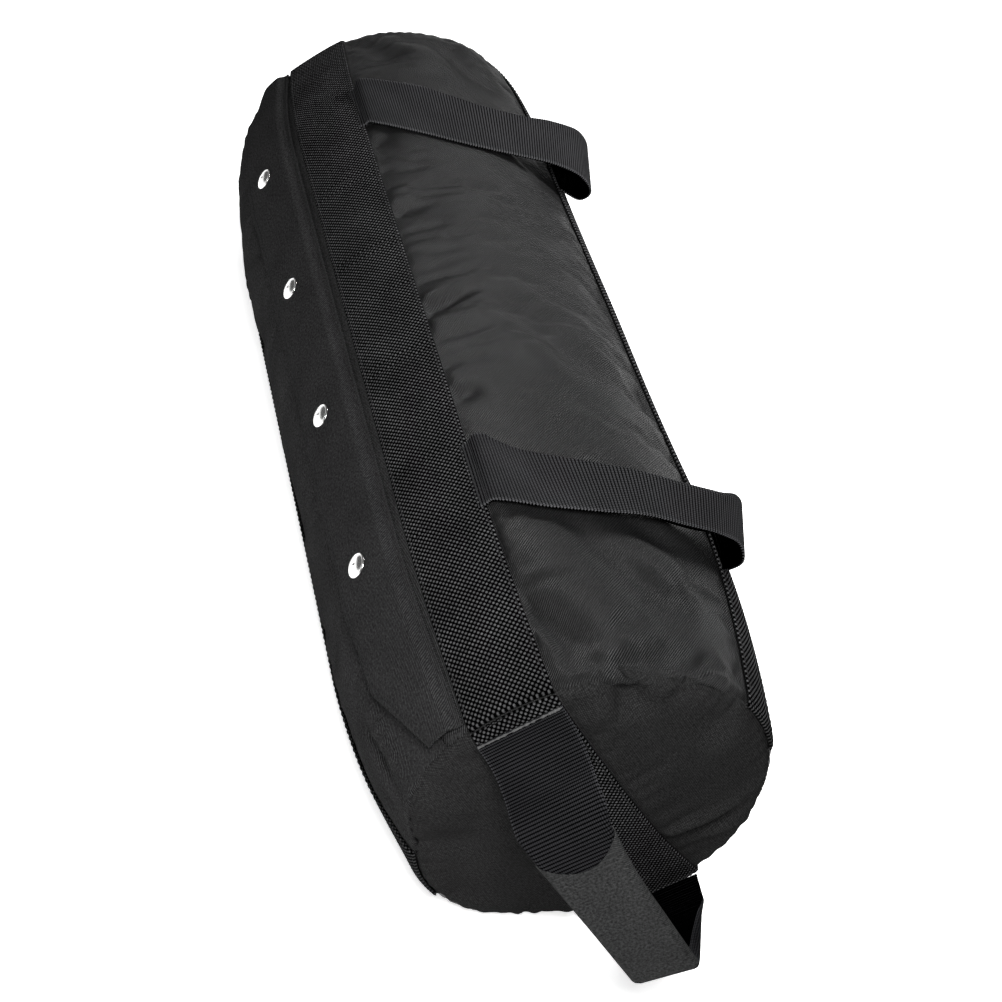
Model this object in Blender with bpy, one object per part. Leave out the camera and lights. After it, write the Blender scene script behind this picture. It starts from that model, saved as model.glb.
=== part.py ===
"""Cylindrical fabric sandbag with carry handles.

The bag lies along X on its flattened underside, z = 0. Angles round the bag are measured from straight
up (+Z) towards the rear (+Y), seen along X, so the flap and its snaps are on the front, at negative
angles. "Near" is the +X end and "far" the -X end. Lengths are metres and angles degrees unless a name
says otherwise.
"""

from math import cos, hypot, pi, radians, sin, sqrt

import bmesh
import bpy
from mathutils import Matrix, Vector

# --- body ---------------------------------------------------------------------------------------------
BAG_LENGTH = 0.663
MID_RADIUS = 0.1234
END_RADIUS = 0.1065
STRAIGHT_HALF = 0.190
FLAT_HALF_ANGLE = 26.0
AXIS_HEIGHT = MID_RADIUS * cos(radians(FLAT_HALF_ANGLE))
END_DOME = 0.012
CLOTH = 0.0012
GAP = 0.0003
HALF = BAG_LENGTH / 2

# --- webbing ------------------------------------------------------------------------------------------
WEBBING_ANGLE = 46.5
WEBBING_WIDTH = 0.050
WEBBING = 0.0015
STRIP_GAP = 0.0005

# --- grab handles across the top ----------------------------------------------------------------------
GRAB_CENTRES = {"near": 0.196, "far": -0.189}
GRAB_SKEW = 0.014
GRAB_ANGLE = 31.5
GRAB_FOOT = 2.6
GRAB_RISE = 0.0150
GRAB_HEIGHT = 0.026
GRAB_LEAN = 0.011
GRAB_TILT = 25.0
STRAP = 0.0018
STRAP_FRONT = 0.030
STRAP_BEND = 0.0022
STRAP_FOLD = 172.0
GRIP_CLEARANCE = 0.0010

# --- end handles: (distance along the strip from the end's centre, height off the end) -----------------
LOOP_BASE = 0.024
LOOP_TAB_UPPER = (0.0970, 0.0760)
LOOP_TAB_LOWER = (-0.0880, -0.0995)
LEG_INSET = 2 * STRAP
LEG_TOP = 0.038
LOOP_ROUTES = {
    "near": ((0.0580, 0.066), (0.0050, 0.086), (-0.0450, 0.092), (-0.0800, 0.070)),
    "far": ((0.0580, 0.053), (0.0050, 0.067), (-0.0450, 0.078), (-0.0800, 0.066)),
}

# --- flap, snaps and zip ------------------------------------------------------------------------------
HEM_ANGLES = (-60.6, -63.6)
FLAP_HINGE_ANGLE = -63.95
FLAP_ANGLES = (-64.3, -85.5)
FLAP_END_ANGLE = -72.8
FLAP_TAPER_START = 0.270
FLAP_HALF_LENGTH = 0.325
FLAP_LIFT = 0.0036
SNAP_ANGLE = -74.4
SNAP_SPACING = 0.130
SNAP_COUNT = 4
CAP_RADIUS = 0.0075
ZIP_ANGLE = -69.0
ZIP_SLOT_HALF = 2.8
ZIP_HALF_LENGTH = 0.176
SLIDER_X = -0.168
SLIDER_LENGTH = 0.014

# --- filler bags --------------------------------------------------------------------------------------
FILLER_X = (0.030, 0.300)
FILLER_INSET = 0.006
FILLER_CLOTH = 0.0010
NECK_END = 0.008
NECK_HALF = (0.060, 0.0040)

ROUND_ANGLES = [9.3 * k for k in range(-15, 16)] + [149.0, 158.0, 169.0, 180.0, 191.0, 202.0, 211.0]
END_STEPS = 5
LEAST_STEP = 0.4


def barrel_radius(x):
    """The same all along the straight middle, where the zip runs, then falling to the round ends."""
    past = max(abs(x) - STRAIGHT_HALF, 0.0) / (HALF - STRAIGHT_HALF)
    return MID_RADIUS - (MID_RADIUS - END_RADIUS) * past**1.7


def stations():
    """Places along the bag, closer together towards its ends, where its radius falls most steeply."""
    right = [STRAIGHT_HALF + (HALF - STRAIGHT_HALF) * sin(k / END_STEPS * pi / 2) for k in range(END_STEPS + 1)]
    return sorted({-x for x in right} | {0.0} | set(right))


X_STATIONS = stations()
ANGLES = sorted(a + turn for a in ROUND_ANGLES for turn in (-360.0, 0.0, 360.0))


def bracket(values, value):
    """The two neighbours in a sorted list that hold a value, and how far it lies between them."""
    low = max([v for v in values if v <= value], default=values[0])
    high = min([v for v in values if v > value], default=values[-1])
    return low, high, 0.0 if high == low else (value - low) / (high - low)


def radius_at(x):
    low, high, t = bracket(X_STATIONS, x)
    return barrel_radius(low) * (1 - t) + barrel_radius(high) * t


def corner(x, angle, off):
    """A point of the faceted bag surface at one of its own angles, off metres proud of it."""
    r = radius_at(x) + off
    z = AXIS_HEIGHT + r * cos(radians(angle))
    return Vector((x, r * sin(radians(angle)), max(z, -off)))


def surface(x, angle, off):
    """A point on the flat facet that an angle falls in, so pieces laid on each other nest exactly."""
    low, high, t = bracket(ANGLES, angle)
    return corner(x, low, off).lerp(corner(x, high, off), t)


def between(values, start, end):
    """start, then the listed values inside the span, then end."""
    low, high = min(start, end), max(start, end)
    inner = sorted(v for v in values if low + 1e-6 < v < high - 1e-6)
    return [start] + (inner if end > start else inner[::-1]) + [end]


def degrees_across(width, radius):
    return width / radius * 180 / pi


# --- scene helpers ------------------------------------------------------------------------------------


def clear_scene():
    for obj in list(bpy.data.objects):
        bpy.data.objects.remove(obj, do_unlink=True)


def material(name, colour, roughness, metallic=0.0):
    mat = bpy.data.materials.get(name)
    if mat is None:
        mat = bpy.data.materials.new(name)
        mat.use_nodes = True
        shader = mat.node_tree.nodes["Principled BSDF"]
        shader.inputs["Base Color"].default_value = (*colour, 1.0)
        shader.inputs["Roughness"].default_value = roughness
        shader.inputs["Metallic"].default_value = metallic
        mat.diffuse_color = (*colour, 1.0)
    return mat


def body_cloth():
    return material("body_cloth", (0.020, 0.020, 0.021), 0.55)


def end_cloth():
    return material("end_cloth", (0.024, 0.024, 0.024), 0.80)


def coarse_webbing():
    return material("coarse_webbing", (0.022, 0.022, 0.022), 0.60)


def ribbed_webbing():
    return material("ribbed_webbing", (0.026, 0.026, 0.026), 0.50)


def nickel():
    return material("nickel", (0.80, 0.80, 0.80), 0.18, 1.0)


def dark_metal():
    return material("dark_metal", (0.08, 0.08, 0.08), 0.35, 1.0)


def zip_tape():
    return material("zip_tape", (0.018, 0.018, 0.018), 0.85)


def coil_plastic():
    return material("coil_plastic", (0.02, 0.02, 0.02), 0.45)


def liner_cloth():
    return material("liner_cloth", (0.05, 0.05, 0.05), 0.70)


def sand():
    return material("sand", (0.45, 0.36, 0.24), 0.95)


def hook_and_loop():
    return material("hook_and_loop", (0.03, 0.03, 0.03), 0.95)


def add_object(name, points, faces, mat, smooth_angle=None):
    mesh = bpy.data.meshes.new(name)
    mesh.from_pydata([tuple(p) for p in points], [], faces)
    bm = bmesh.new()
    bm.from_mesh(mesh)
    bmesh.ops.recalc_face_normals(bm, faces=bm.faces)
    bm.to_mesh(mesh)
    bm.free()
    if smooth_angle is not None:
        mesh.shade_smooth()
        mesh.set_sharp_from_angle(angle=radians(smooth_angle))
    mesh.materials.append(mat)
    obj = bpy.data.objects.new(name, mesh)
    bpy.context.scene.collection.objects.link(obj)
    return obj


def loft(name, rings, mat, smooth_angle=40.0):
    """A closed solid through rings of equal length, with a flat face over each end."""
    count = len(rings[0])
    points = [p for ring in rings for p in ring]
    faces = [tuple(range(count)), tuple(range(len(points) - count, len(points)))]
    for i in range(len(rings) - 1):
        for j in range(count):
            k = (j + 1) % count
            a, b = i * count, (i + 1) * count
            faces.append((a + j, a + k, b + k, b + j))
    return add_object(name, points, faces, mat, smooth_angle)


def set_origin(obj, pivot):
    """Puts an object's origin on its joint without moving its shape."""
    obj.data.transform(Matrix.Translation(-pivot))
    obj.location = pivot


def pivot_empty(name, pivot):
    empty = bpy.data.objects.new(name, None)
    empty.location = pivot
    empty.empty_display_size = 0.02
    bpy.context.scene.collection.objects.link(empty)
    return empty


def hang_on(obj, empty):
    obj.parent = empty
    obj.matrix_parent_inverse = Matrix.Translation(-empty.location)


def cut(obj, cutter):
    cutter.hide_render = True
    cutter.display_type = "WIRE"
    boolean = obj.modifiers.new("cut_" + cutter.name, "BOOLEAN")
    boolean.operation = "DIFFERENCE"
    boolean.solver = "EXACT"
    boolean.object = cutter


def join(obj, other):
    other.hide_render = True
    other.display_type = "WIRE"
    boolean = obj.modifiers.new("join_" + other.name, "BOOLEAN")
    boolean.operation = "UNION"
    boolean.solver = "EXACT"
    boolean.object = other


def box(name, low, high, mat):
    ring = [Vector((low[0], y, z)) for y, z in
            ((low[1], low[2]), (high[1], low[2]), (high[1], high[2]), (low[1], high[2]))]
    shift = Vector((high[0] - low[0], 0, 0))
    return loft(name, [ring, [p + shift for p in ring]], mat, None)


# --- pieces that lie on the bag surface -----------------------------------------------------------------


def band(name, edges, span, offs, mat):
    """Cloth or webbing over part of the surface. edges(x) gives its two angles at a place along the bag."""
    inner = between(ANGLES, *edges(0.5 * (span[0] + span[1])))[1:-1]
    rings = []
    for x in between(X_STATIONS, *span):
        start, end = edges(x)
        way = 1 if end > start else -1
        angles = [start]
        for k, angle in enumerate(inner):
            latest = end - way * LEAST_STEP * (len(inner) - k)
            angles.append(way * min(way * angle, way * latest))
        angles.append(end)
        rings.append([surface(x, a, offs[1]) for a in angles] + [surface(x, a, offs[0]) for a in angles[::-1]])
    return loft(name, rings, mat)


def moulding(name, profile, span, mat):
    """A bar along the bag with the same section all the way: profile holds (angle, off, lift)."""
    rings = []
    for x in between(X_STATIONS, *span):
        rings.append([surface(x, angle, off) + Vector((0, 0, lift)) for angle, off, lift in profile])
    return loft(name, rings, mat)


def steady(first, last):
    return lambda x: (first, last)


def webbing_edges(angle):
    def edges(x):
        half = degrees_across(WEBBING_WIDTH / 2, radius_at(x))
        return angle - half, angle + half
    return edges


def make_panels():
    seam = degrees_across(GAP / 2, MID_RADIUS)
    slot = (ZIP_ANGLE + ZIP_SLOT_HALF, ZIP_ANGLE - ZIP_SLOT_HALF)
    lower = 180.0 - WEBBING_ANGLE
    spans = {
        "top_panel": (-WEBBING_ANGLE + seam, WEBBING_ANGLE - seam),
        "rear_panel": (WEBBING_ANGLE + seam, lower - seam),
        "base_panel": (lower + seam, 360.0 - lower - seam),
        "front_panel_upper": (slot[0], -WEBBING_ANGLE - seam),
        "front_panel_lower": (-lower + seam, slot[1]),
    }
    length = HALF - CLOTH - GAP
    return {name: band(name, steady(*span), (-length, length), (-CLOTH, 0.0), body_cloth())
            for name, span in spans.items()}


def make_webbings():
    length = HALF - CLOTH - GAP
    lower = 180.0 - WEBBING_ANGLE
    angles = {"webbing_top_front": -WEBBING_ANGLE, "webbing_top_rear": WEBBING_ANGLE,
              "webbing_base_rear": lower, "webbing_base_front": -lower}
    for name, angle in angles.items():
        band(name, webbing_edges(angle), (-length, length), (GAP, GAP + WEBBING), coarse_webbing())


# --- round ends -----------------------------------------------------------------------------------------


def dome(rho):
    return END_DOME * (1 - (rho / END_RADIUS) ** 2)


def across_strip():
    """The directions along and across the webbing that crosses each round end."""
    along = Vector((0, -sin(radians(WEBBING_ANGLE)), cos(radians(WEBBING_ANGLE))))
    return along, Vector((0, -along.z, along.y))


def end_point(side, u, w, off):
    """A point over a round end: u along the strip, w across it, off proud of the flat rim plane."""
    along, across = across_strip()
    return Vector((side * (HALF + off), 0, AXIS_HEIGHT)) + along * u + across * w


def make_end_panel(name, side):
    rim_angles = [a for a in ROUND_ANGLES]
    shares = (0.0, 0.45, 0.8, 1.0)
    count = len(rim_angles)
    points, faces = [], []
    for off in (0.0, -CLOTH):
        start = len(points)
        points.append(Vector((side * (HALF + dome(0.0) + off), 0, AXIS_HEIGHT)))
        for share in shares[1:]:
            for angle in rim_angles:
                rim = corner(side * HALF, angle, 0.0) - Vector((side * HALF, 0, AXIS_HEIGHT))
                spot = rim * share + Vector((0, 0, AXIS_HEIGHT))
                spot.x = side * (HALF + dome(END_RADIUS * share) + off)
                points.append(spot)
        for j in range(count):
            k = (j + 1) % count
            faces.append((start, start + 1 + j, start + 1 + k))
            for ring in range(len(shares) - 2):
                a, b = start + 1 + ring * count, start + 1 + (ring + 1) * count
                faces.append((a + j, a + k, b + k, b + j))
    inner = 1 + count * (len(shares) - 1)
    rim = 1 + count * (len(shares) - 2)
    for j in range(count):
        k = (j + 1) % count
        faces.append((rim + j, rim + k, inner + rim + k, inner + rim + j))
    return add_object(name, points, faces, end_cloth(), 40.0)


def make_end_strip(name, side):
    rings = []
    across_steps = [WEBBING_WIDTH * (k / 4 - 0.5) for k in range(5)]
    for i in range(11):
        t = -1 + 2 * i / 10
        ring = []
        for off, widths in ((STRIP_GAP + WEBBING, across_steps), (STRIP_GAP, across_steps[::-1])):
            for w in widths:
                u = t * (sqrt(END_RADIUS**2 - w**2) - GAP)
                ring.append(end_point(side, u, w, dome(hypot(u, w)) + off))
        rings.append(ring)
    return loft(name, rings, coarse_webbing())


# --- handles --------------------------------------------------------------------------------------------


def outline(centreline, thickness):
    """The closed outline of a strap seen end on, from the line down the middle of its thickness."""
    upper, lower = [], []
    for i, point in enumerate(centreline):
        before = centreline[max(i - 1, 0)]
        after = centreline[min(i + 1, len(centreline) - 1)]
        step = (after - before).normalized()
        normal = Vector((-step.y, step.x)) * thickness / 2
        upper.append(point + normal)
        lower.append(point - normal)
    return upper + lower[::-1]


def folded_section(fold, shift):
    """A strap whose back part is folded under its front part by an angle, front edge first."""
    angle = radians(max(fold, 0.01))
    back = WEBBING_WIDTH - STRAP_FRONT
    bend = min(STRAP_BEND, 0.8 * back / angle)
    line = [Vector((STRAP_FRONT, 0)), Vector((STRAP_FRONT / 2, 0))]
    for k in range(6):
        turn = angle * k / 5
        line.append(Vector((-bend * sin(turn), bend * (cos(turn) - 1))))
    left = back - bend * angle
    line.append(line[-1] + Vector((-cos(angle), -sin(angle))) * left)
    return outline([p - Vector((shift, 0)) for p in line], STRAP)


def fold_share(t):
    """How far the strap is folded along a handle: flat at both ends, folded by a sixth of the way in."""
    near_end = min(t, 1 - t)
    ramp = min(max((near_end - 0.04) / 0.16, 0.0), 1.0)
    return ramp * ramp * (3 - 2 * ramp)


def curve_through(route, count):
    """Evenly numbered points of the smooth (Catmull-Rom) curve through a handle's chosen points."""
    pts = [Vector(p) for p in route]
    pts = [2 * pts[0] - pts[1]] + pts + [2 * pts[-1] - pts[-2]]
    spans = len(pts) - 3
    found = []
    for i in range(count):
        place = i / (count - 1) * spans
        k = min(int(place), spans - 1)
        t = place - k
        a, b, c, d = pts[k:k + 4]
        found.append(0.5 * (2 * b + (c - a) * t + (2 * a - 5 * b + 4 * c - d) * t * t
                            + (3 * b - a - 3 * c + d) * t**3))
    return found


def grab_tab(name, x, side):
    """Where a grab handle is caught beside the webbing: a flat foot and a short upright."""
    inner = side * GRAB_ANGLE
    outer = side * (GRAB_ANGLE + GRAB_FOOT)
    thick = side * degrees_across(STRAP, MID_RADIUS) / cos(radians(GRAB_ANGLE))
    profile = [
        (outer, GAP, 0.0),
        (inner, GAP, 0.0),
        (inner, GAP, GRAB_RISE),
        (inner + thick, GAP, GRAB_RISE),
        (inner + thick, GAP + STRAP, 0.0),
        (outer, GAP + STRAP, 0.0),
    ]
    half = WEBBING_WIDTH / 2
    return moulding(name, profile, (x - half, x + half), ribbed_webbing())


def grab_reach(centre):
    """How far from the bag's middle plane a grip ends, clear of the inner faces of its two tabs."""
    far_edge = GRAB_SKEW + WEBBING_WIDTH / 2
    faces = [surface(x, GRAB_ANGLE, GAP).y for x in (centre - far_edge, centre + far_edge)]
    return min(faces) - GRIP_CLEARANCE


def make_grab_grip(name, centre):
    stations_along = 19
    reach = grab_reach(centre)
    base = surface(centre, GRAB_ANGLE, GAP).z + GRAB_RISE - STRAP / 2
    top = AXIS_HEIGHT + radius_at(centre) + GRAB_HEIGHT
    spots = []
    for i in range(stations_along):
        t = i / (stations_along - 1)
        rise = sin(pi * t)
        y = reach * (2 * t - 1)
        z = base + (top - base) * max(rise, 0.0) ** 0.6
        spots.append(Vector((centre + GRAB_SKEW * (2 * t - 1) + GRAB_LEAN * rise, y, z)))
    rings = []
    for i, spot in enumerate(spots):
        t = i / (stations_along - 1)
        run = spots[min(i + 1, stations_along - 1)] - spots[max(i - 1, 0)]
        up = Vector((0, -run.z, run.y)).normalized()
        if i in (0, stations_along - 1):
            up = Vector((0, 0, 1))
        fold = fold_share(t)
        tilt = radians(GRAB_TILT) * fold
        side_way = Vector((cos(tilt), 0, 0)) - up * sin(tilt)
        up_way = up * cos(tilt) + Vector((sin(tilt), 0, 0))
        shift = (STRAP_FRONT - WEBBING_WIDTH / 2) * (1 - fold)
        section = folded_section(STRAP_FOLD * fold, shift)
        rings.append([spot + side_way * p.x + up_way * p.y for p in section])
    grip = loft(name, rings, ribbed_webbing())
    set_origin(grip, (spots[0] + spots[-1]) / 2)
    return grip


def end_tab(name, side, reach):
    """Where an end handle is sewn to the strip: flat on it, then turned up away from the bag."""
    start, end = reach
    base = STRIP_GAP + WEBBING + GAP + STRAP / 2
    flat = [Vector((u, dome(u) + base)) for u in (start, (start + end) / 2, end)]
    line = flat + [Vector((end, LOOP_BASE - GAP))]
    half = WEBBING_WIDTH / 2
    section = outline(line, STRAP)
    rings = [[end_point(side, p.x, w, p.y) for p in section] for w in (-half, half)]
    return loft(name, rings, ribbed_webbing())


def loop_route(middle):
    """Straight up beside one tab, over, and straight down beside the other, so the loop can swing."""
    upper = LOOP_TAB_UPPER[1] - LEG_INSET
    lower = LOOP_TAB_LOWER[1] + LEG_INSET
    return [(upper, LOOP_BASE), (upper, LEG_TOP), *middle, (lower, LEG_TOP), (lower, LOOP_BASE)]


def make_end_loop(name, side, middle):
    stations_along = 25
    route = loop_route(middle)
    spots = curve_through(route, stations_along)
    rings = []
    for i, spot in enumerate(spots):
        t = i / (stations_along - 1)
        run = (spots[min(i + 1, stations_along - 1)] - spots[max(i - 1, 0)]).normalized()
        if i in (0, stations_along - 1):
            run = Vector((0, 1 if i == 0 else -1))
        out = Vector((-run.y, run.x))
        fold = fold_share(t)
        shift = (STRAP_FRONT - WEBBING_WIDTH / 2) * (1 - fold) + STRAP_FRONT / 2 * fold
        ring = []
        for p in folded_section(STRAP_FOLD * fold, shift):
            flat = spot - out * p.y
            ring.append(end_point(side, flat.x, p.x, flat.y + GAP))
        rings.append(ring)
    loop = loft(name, rings, ribbed_webbing())
    set_origin(loop, end_point(side, (route[0][0] + route[-1][0]) / 2, 0.0, LOOP_BASE))
    return loop


# --- snaps ----------------------------------------------------------------------------------------------


def turned(name, profile, spot, axis, mat, segments, ring=False):
    """A round piece about an axis. profile holds (radius, height); a ring's profile closes on itself."""
    turn = axis.to_track_quat("Z", "Y").to_matrix().to_4x4()
    place = Matrix.Translation(spot) @ turn
    points, faces, starts = [], [], []
    for radius, height in profile:
        starts.append(len(points))
        if radius == 0.0:
            points.append(Vector((0, 0, height)))
            continue
        for k in range(segments):
            angle = 2 * pi * k / segments
            points.append(Vector((radius * cos(angle), radius * sin(angle), height)))
    steps = list(range(len(profile) - 1)) + ([len(profile) - 1] if ring else [])
    for i in steps:
        nxt = (i + 1) % len(profile)
        for k in range(segments):
            m = (k + 1) % segments
            first = [starts[i]] if profile[i][0] == 0.0 else [starts[i] + k, starts[i] + m]
            second = [starts[nxt]] if profile[nxt][0] == 0.0 else [starts[nxt] + m, starts[nxt] + k]
            faces.append(tuple(first + second))
    obj = add_object(name, points, faces, mat, 35.0)
    obj.matrix_world = place
    return obj


def snap_places():
    normal = Vector((0, sin(radians(SNAP_ANGLE)), cos(radians(SNAP_ANGLE))))
    for k in range(SNAP_COUNT):
        x = (k - (SNAP_COUNT - 1) / 2) * SNAP_SPACING
        yield k + 1, corner(x, SNAP_ANGLE, 0.0), normal


def make_snaps(flap, lower_panel, hinge):
    under_flap = FLAP_LIFT + CLOTH + GAP
    for number, spot, normal in snap_places():
        cap_profile = [(0.0, 0.0034), (0.0018, 0.0034), (0.0018, under_flap), (CAP_RADIUS, under_flap),
                       (CAP_RADIUS, under_flap + 0.0006), (0.0062, under_flap + 0.0019),
                       (0.0036, under_flap + 0.0027), (0.0, under_flap + 0.0030)]
        cap = turned(f"snap_cap_{number}", cap_profile, spot, normal, nickel(), 16)
        socket_profile = [(0.0024, 0.0018), (0.0055, 0.0018), (0.0055, 0.0024), (0.0044, 0.0028), (0.0024, 0.0028)]
        socket = turned(f"snap_socket_{number}", socket_profile, spot, normal, nickel(), 12, True)
        stud_profile = [(0.0, GAP), (0.0050, GAP), (0.0050, 0.0011), (0.0017, 0.0011), (0.0019, 0.0022),
                        (0.0, 0.0026)]
        turned(f"snap_stud_{number}", stud_profile, spot, normal, nickel(), 12)
        rivet_profile = [(0.0, -0.0026), (0.0033, -0.0026), (0.0033, -0.0018), (0.0014, -0.0018), (0.0014, 0.0),
                         (0.0, 0.0)]
        turned(f"snap_rivet_{number}", rivet_profile, spot, normal, dark_metal(), 12)
        through = [(0.0, 0.002), (0.0022, 0.002), (0.0022, 0.007), (0.0, 0.007)]
        cut(flap, turned(f"cutter_flap_{number}", through, spot, normal, nickel(), 12))
        through = [(0.0, -0.003), (0.0018, -0.003), (0.0018, 0.002), (0.0, 0.002)]
        cut(lower_panel, turned(f"cutter_panel_{number}", through, spot, normal, nickel(), 12))
        hang_on(cap, hinge)
        hang_on(socket, hinge)


# --- flap and zip ---------------------------------------------------------------------------------------


def flap_edges(x):
    past = max(abs(x) - FLAP_TAPER_START, 0.0) / (FLAP_HALF_LENGTH - FLAP_TAPER_START)
    return FLAP_ANGLES[0], FLAP_ANGLES[1] + (FLAP_END_ANGLE - FLAP_ANGLES[1]) * past


def make_flap(lower_panel):
    low, high = HEM_ANGLES
    hem_profile = [(low, GAP, 0.0), (low, GAP + CLOTH, 0.0), (high, FLAP_LIFT, 0.0), (high, GAP, 0.0)]
    moulding("flap_hem", hem_profile, (-FLAP_HALF_LENGTH, FLAP_HALF_LENGTH), body_cloth())
    length = FLAP_HALF_LENGTH
    flap = band("flap", flap_edges, (-length, length), (FLAP_LIFT, FLAP_LIFT + CLOTH), body_cloth())
    pivot = surface(0.0, FLAP_HINGE_ANGLE, FLAP_LIFT + CLOTH / 2)
    set_origin(flap, pivot)
    hinge = pivot_empty("flap_hinge", pivot)
    hang_on(flap, hinge)
    make_snaps(flap, lower_panel, hinge)


def make_zip():
    top, bottom = ZIP_ANGLE + 3.4, ZIP_ANGLE - 3.4
    length = HALF - CLOTH - GAP
    offs = (-0.0023, -0.0015)
    band("zip_tape_upper", steady(ZIP_ANGLE + 0.2, top), (-length, length), offs, zip_tape())
    band("zip_tape_lower", steady(bottom, ZIP_ANGLE - 0.2), (-length, length), offs, zip_tape())
    for name, first, last in (("zip_coil_upper", 0.1, 1.5), ("zip_coil_lower", -0.1, -1.5)):
        profile = [(ZIP_ANGLE + first, -0.0012, 0.0), (ZIP_ANGLE + first, 0.0006, 0.0),
                   (ZIP_ANGLE + last, 0.0002, 0.0), (ZIP_ANGLE + last, -0.0012, 0.0)]
        moulding(name, profile, (-ZIP_HALF_LENGTH, ZIP_HALF_LENGTH), coil_plastic())
    stop = [(ZIP_ANGLE + 1.5, -0.0012, 0.0), (ZIP_ANGLE + 1.5, 0.0008, 0.0), (ZIP_ANGLE - 1.5, 0.0008, 0.0),
            (ZIP_ANGLE - 1.5, -0.0012, 0.0)]
    for name, side in (("zip_stop_near", 1), ("zip_stop_far", -1)):
        inner, outer = side * (ZIP_HALF_LENGTH + GAP), side * (ZIP_HALF_LENGTH + 0.005)
        moulding(name, stop, (min(inner, outer), max(inner, outer)), dark_metal())


def make_slider():
    """A saddle over the closed coil with a pin on top, and the pull that turns on that pin."""
    wide, lip = 2.15, 1.85
    profile = [(ZIP_ANGLE + wide, -0.0009, 0.0), (ZIP_ANGLE + wide, 0.0019, 0.0),
               (ZIP_ANGLE - wide, 0.0019, 0.0), (ZIP_ANGLE - wide, -0.0009, 0.0),
               (ZIP_ANGLE - lip, -0.0009, 0.0), (ZIP_ANGLE - lip, 0.0010, 0.0),
               (ZIP_ANGLE + lip, 0.0010, 0.0), (ZIP_ANGLE + lip, -0.0009, 0.0)]
    half = SLIDER_LENGTH / 2
    slider = moulding("zip_slider", profile, (SLIDER_X - half, SLIDER_X + half), dark_metal())
    spot = surface(SLIDER_X, ZIP_ANGLE, 0.0)
    facet_up = surface(SLIDER_X, ZIP_ANGLE + 1, 0.0) - surface(SLIDER_X, ZIP_ANGLE - 1, 0.0)
    along = Vector((1, 0, 0))
    normal = facet_up.cross(along).normalized()
    if normal.y > 0:
        normal = -normal
    pin = [(0.0, 0.0014), (0.0010, 0.0014), (0.0010, 0.0031), (0.0, 0.0031)]
    join(slider, turned("pin_on_slider", pin, spot, normal, dark_metal(), 12))
    sideways = normal.cross(along)
    outline_points = [(-0.0035, -0.0030), (-0.0035, 0.0030), (0.0200, 0.0030), (0.0225, 0.0), (0.0200, -0.0030)]
    rings = []
    for height in (0.0022, 0.0030):
        rings.append([spot + along * a + sideways * b + normal * height for a, b in outline_points])
    pull = loft("zip_pull", rings, dark_metal(), None)
    hole = [(0.0, 0.001), (0.0014, 0.001), (0.0014, 0.005), (0.0, 0.005)]
    cut(pull, turned("cutter_pull", hole, spot, normal, dark_metal(), 12))
    set_origin(pull, spot)


# --- filler bags ----------------------------------------------------------------------------------------


def inner_rings(side, span, inset):
    angles = ROUND_ANGLES[::2]
    middle = 0.5 * (span[0] + span[1])
    return [[corner(side * x, a, -inset) for a in angles] for x in (span[0], middle, span[1])]


def make_filler(name, side):
    start, end = FILLER_X
    wall = FILLER_CLOTH
    liner = loft("liner_" + name, inner_rings(side, (start, end), FILLER_INSET), liner_cloth())
    y, z = NECK_HALF
    ends = sorted((side * NECK_END, side * (start + 2 * wall)))
    neck = box("neck_" + name, (ends[0], -y, AXIS_HEIGHT - z), (ends[1], y, AXIS_HEIGHT + z), liner_cloth())
    join(liner, neck)
    inside = (start + wall, end - wall)
    hollow = loft("hollow_" + name, inner_rings(side, inside, FILLER_INSET + wall), liner_cloth())
    cut(liner, hollow)
    ends = sorted((side * (NECK_END - 0.004), side * (start + 4 * wall)))
    duct = box("duct_" + name, (ends[0], wall - y, AXIS_HEIGHT + wall - z),
               (ends[1], y - wall, AXIS_HEIGHT + z - wall), liner_cloth())
    cut(liner, duct)
    fill = (start + wall + GAP, end - wall - GAP)
    loft("sand_" + name, inner_rings(side, fill, FILLER_INSET + wall + GAP), sand())
    ends = sorted((side * (NECK_END + 0.003), side * (start - 0.003)))
    for strip, low, high in (("hook_strip_", 0.0002, 0.0024), ("loop_strip_", -0.0024, -0.0002)):
        box(strip + name, (ends[0], 0.006 - y, AXIS_HEIGHT + low), (ends[1], y - 0.006, AXIS_HEIGHT + high),
            hook_and_loop())


def main():
    clear_scene()
    panels = make_panels()
    make_webbings()
    for name, side in (("near", 1), ("far", -1)):
        make_end_panel("end_panel_" + name, side)
        make_end_strip("end_strip_" + name, side)
        end_tab(f"end_{name}_upper_tab", side, LOOP_TAB_UPPER)
        end_tab(f"end_{name}_lower_tab", side, LOOP_TAB_LOWER)
        make_end_loop(f"end_{name}_loop", side, LOOP_ROUTES[name])
        centre = GRAB_CENTRES[name]
        grab_tab(f"grab_{name}_front_tab", centre - GRAB_SKEW, -1)
        grab_tab(f"grab_{name}_rear_tab", centre + GRAB_SKEW, 1)
        make_grab_grip(f"grab_{name}_grip", centre)
        make_filler(name, side)
    make_flap(panels["front_panel_lower"])
    make_zip()
    make_slider()


main()
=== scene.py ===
import math

import bpy
import numpy as np
from mathutils import Matrix, Vector


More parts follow.
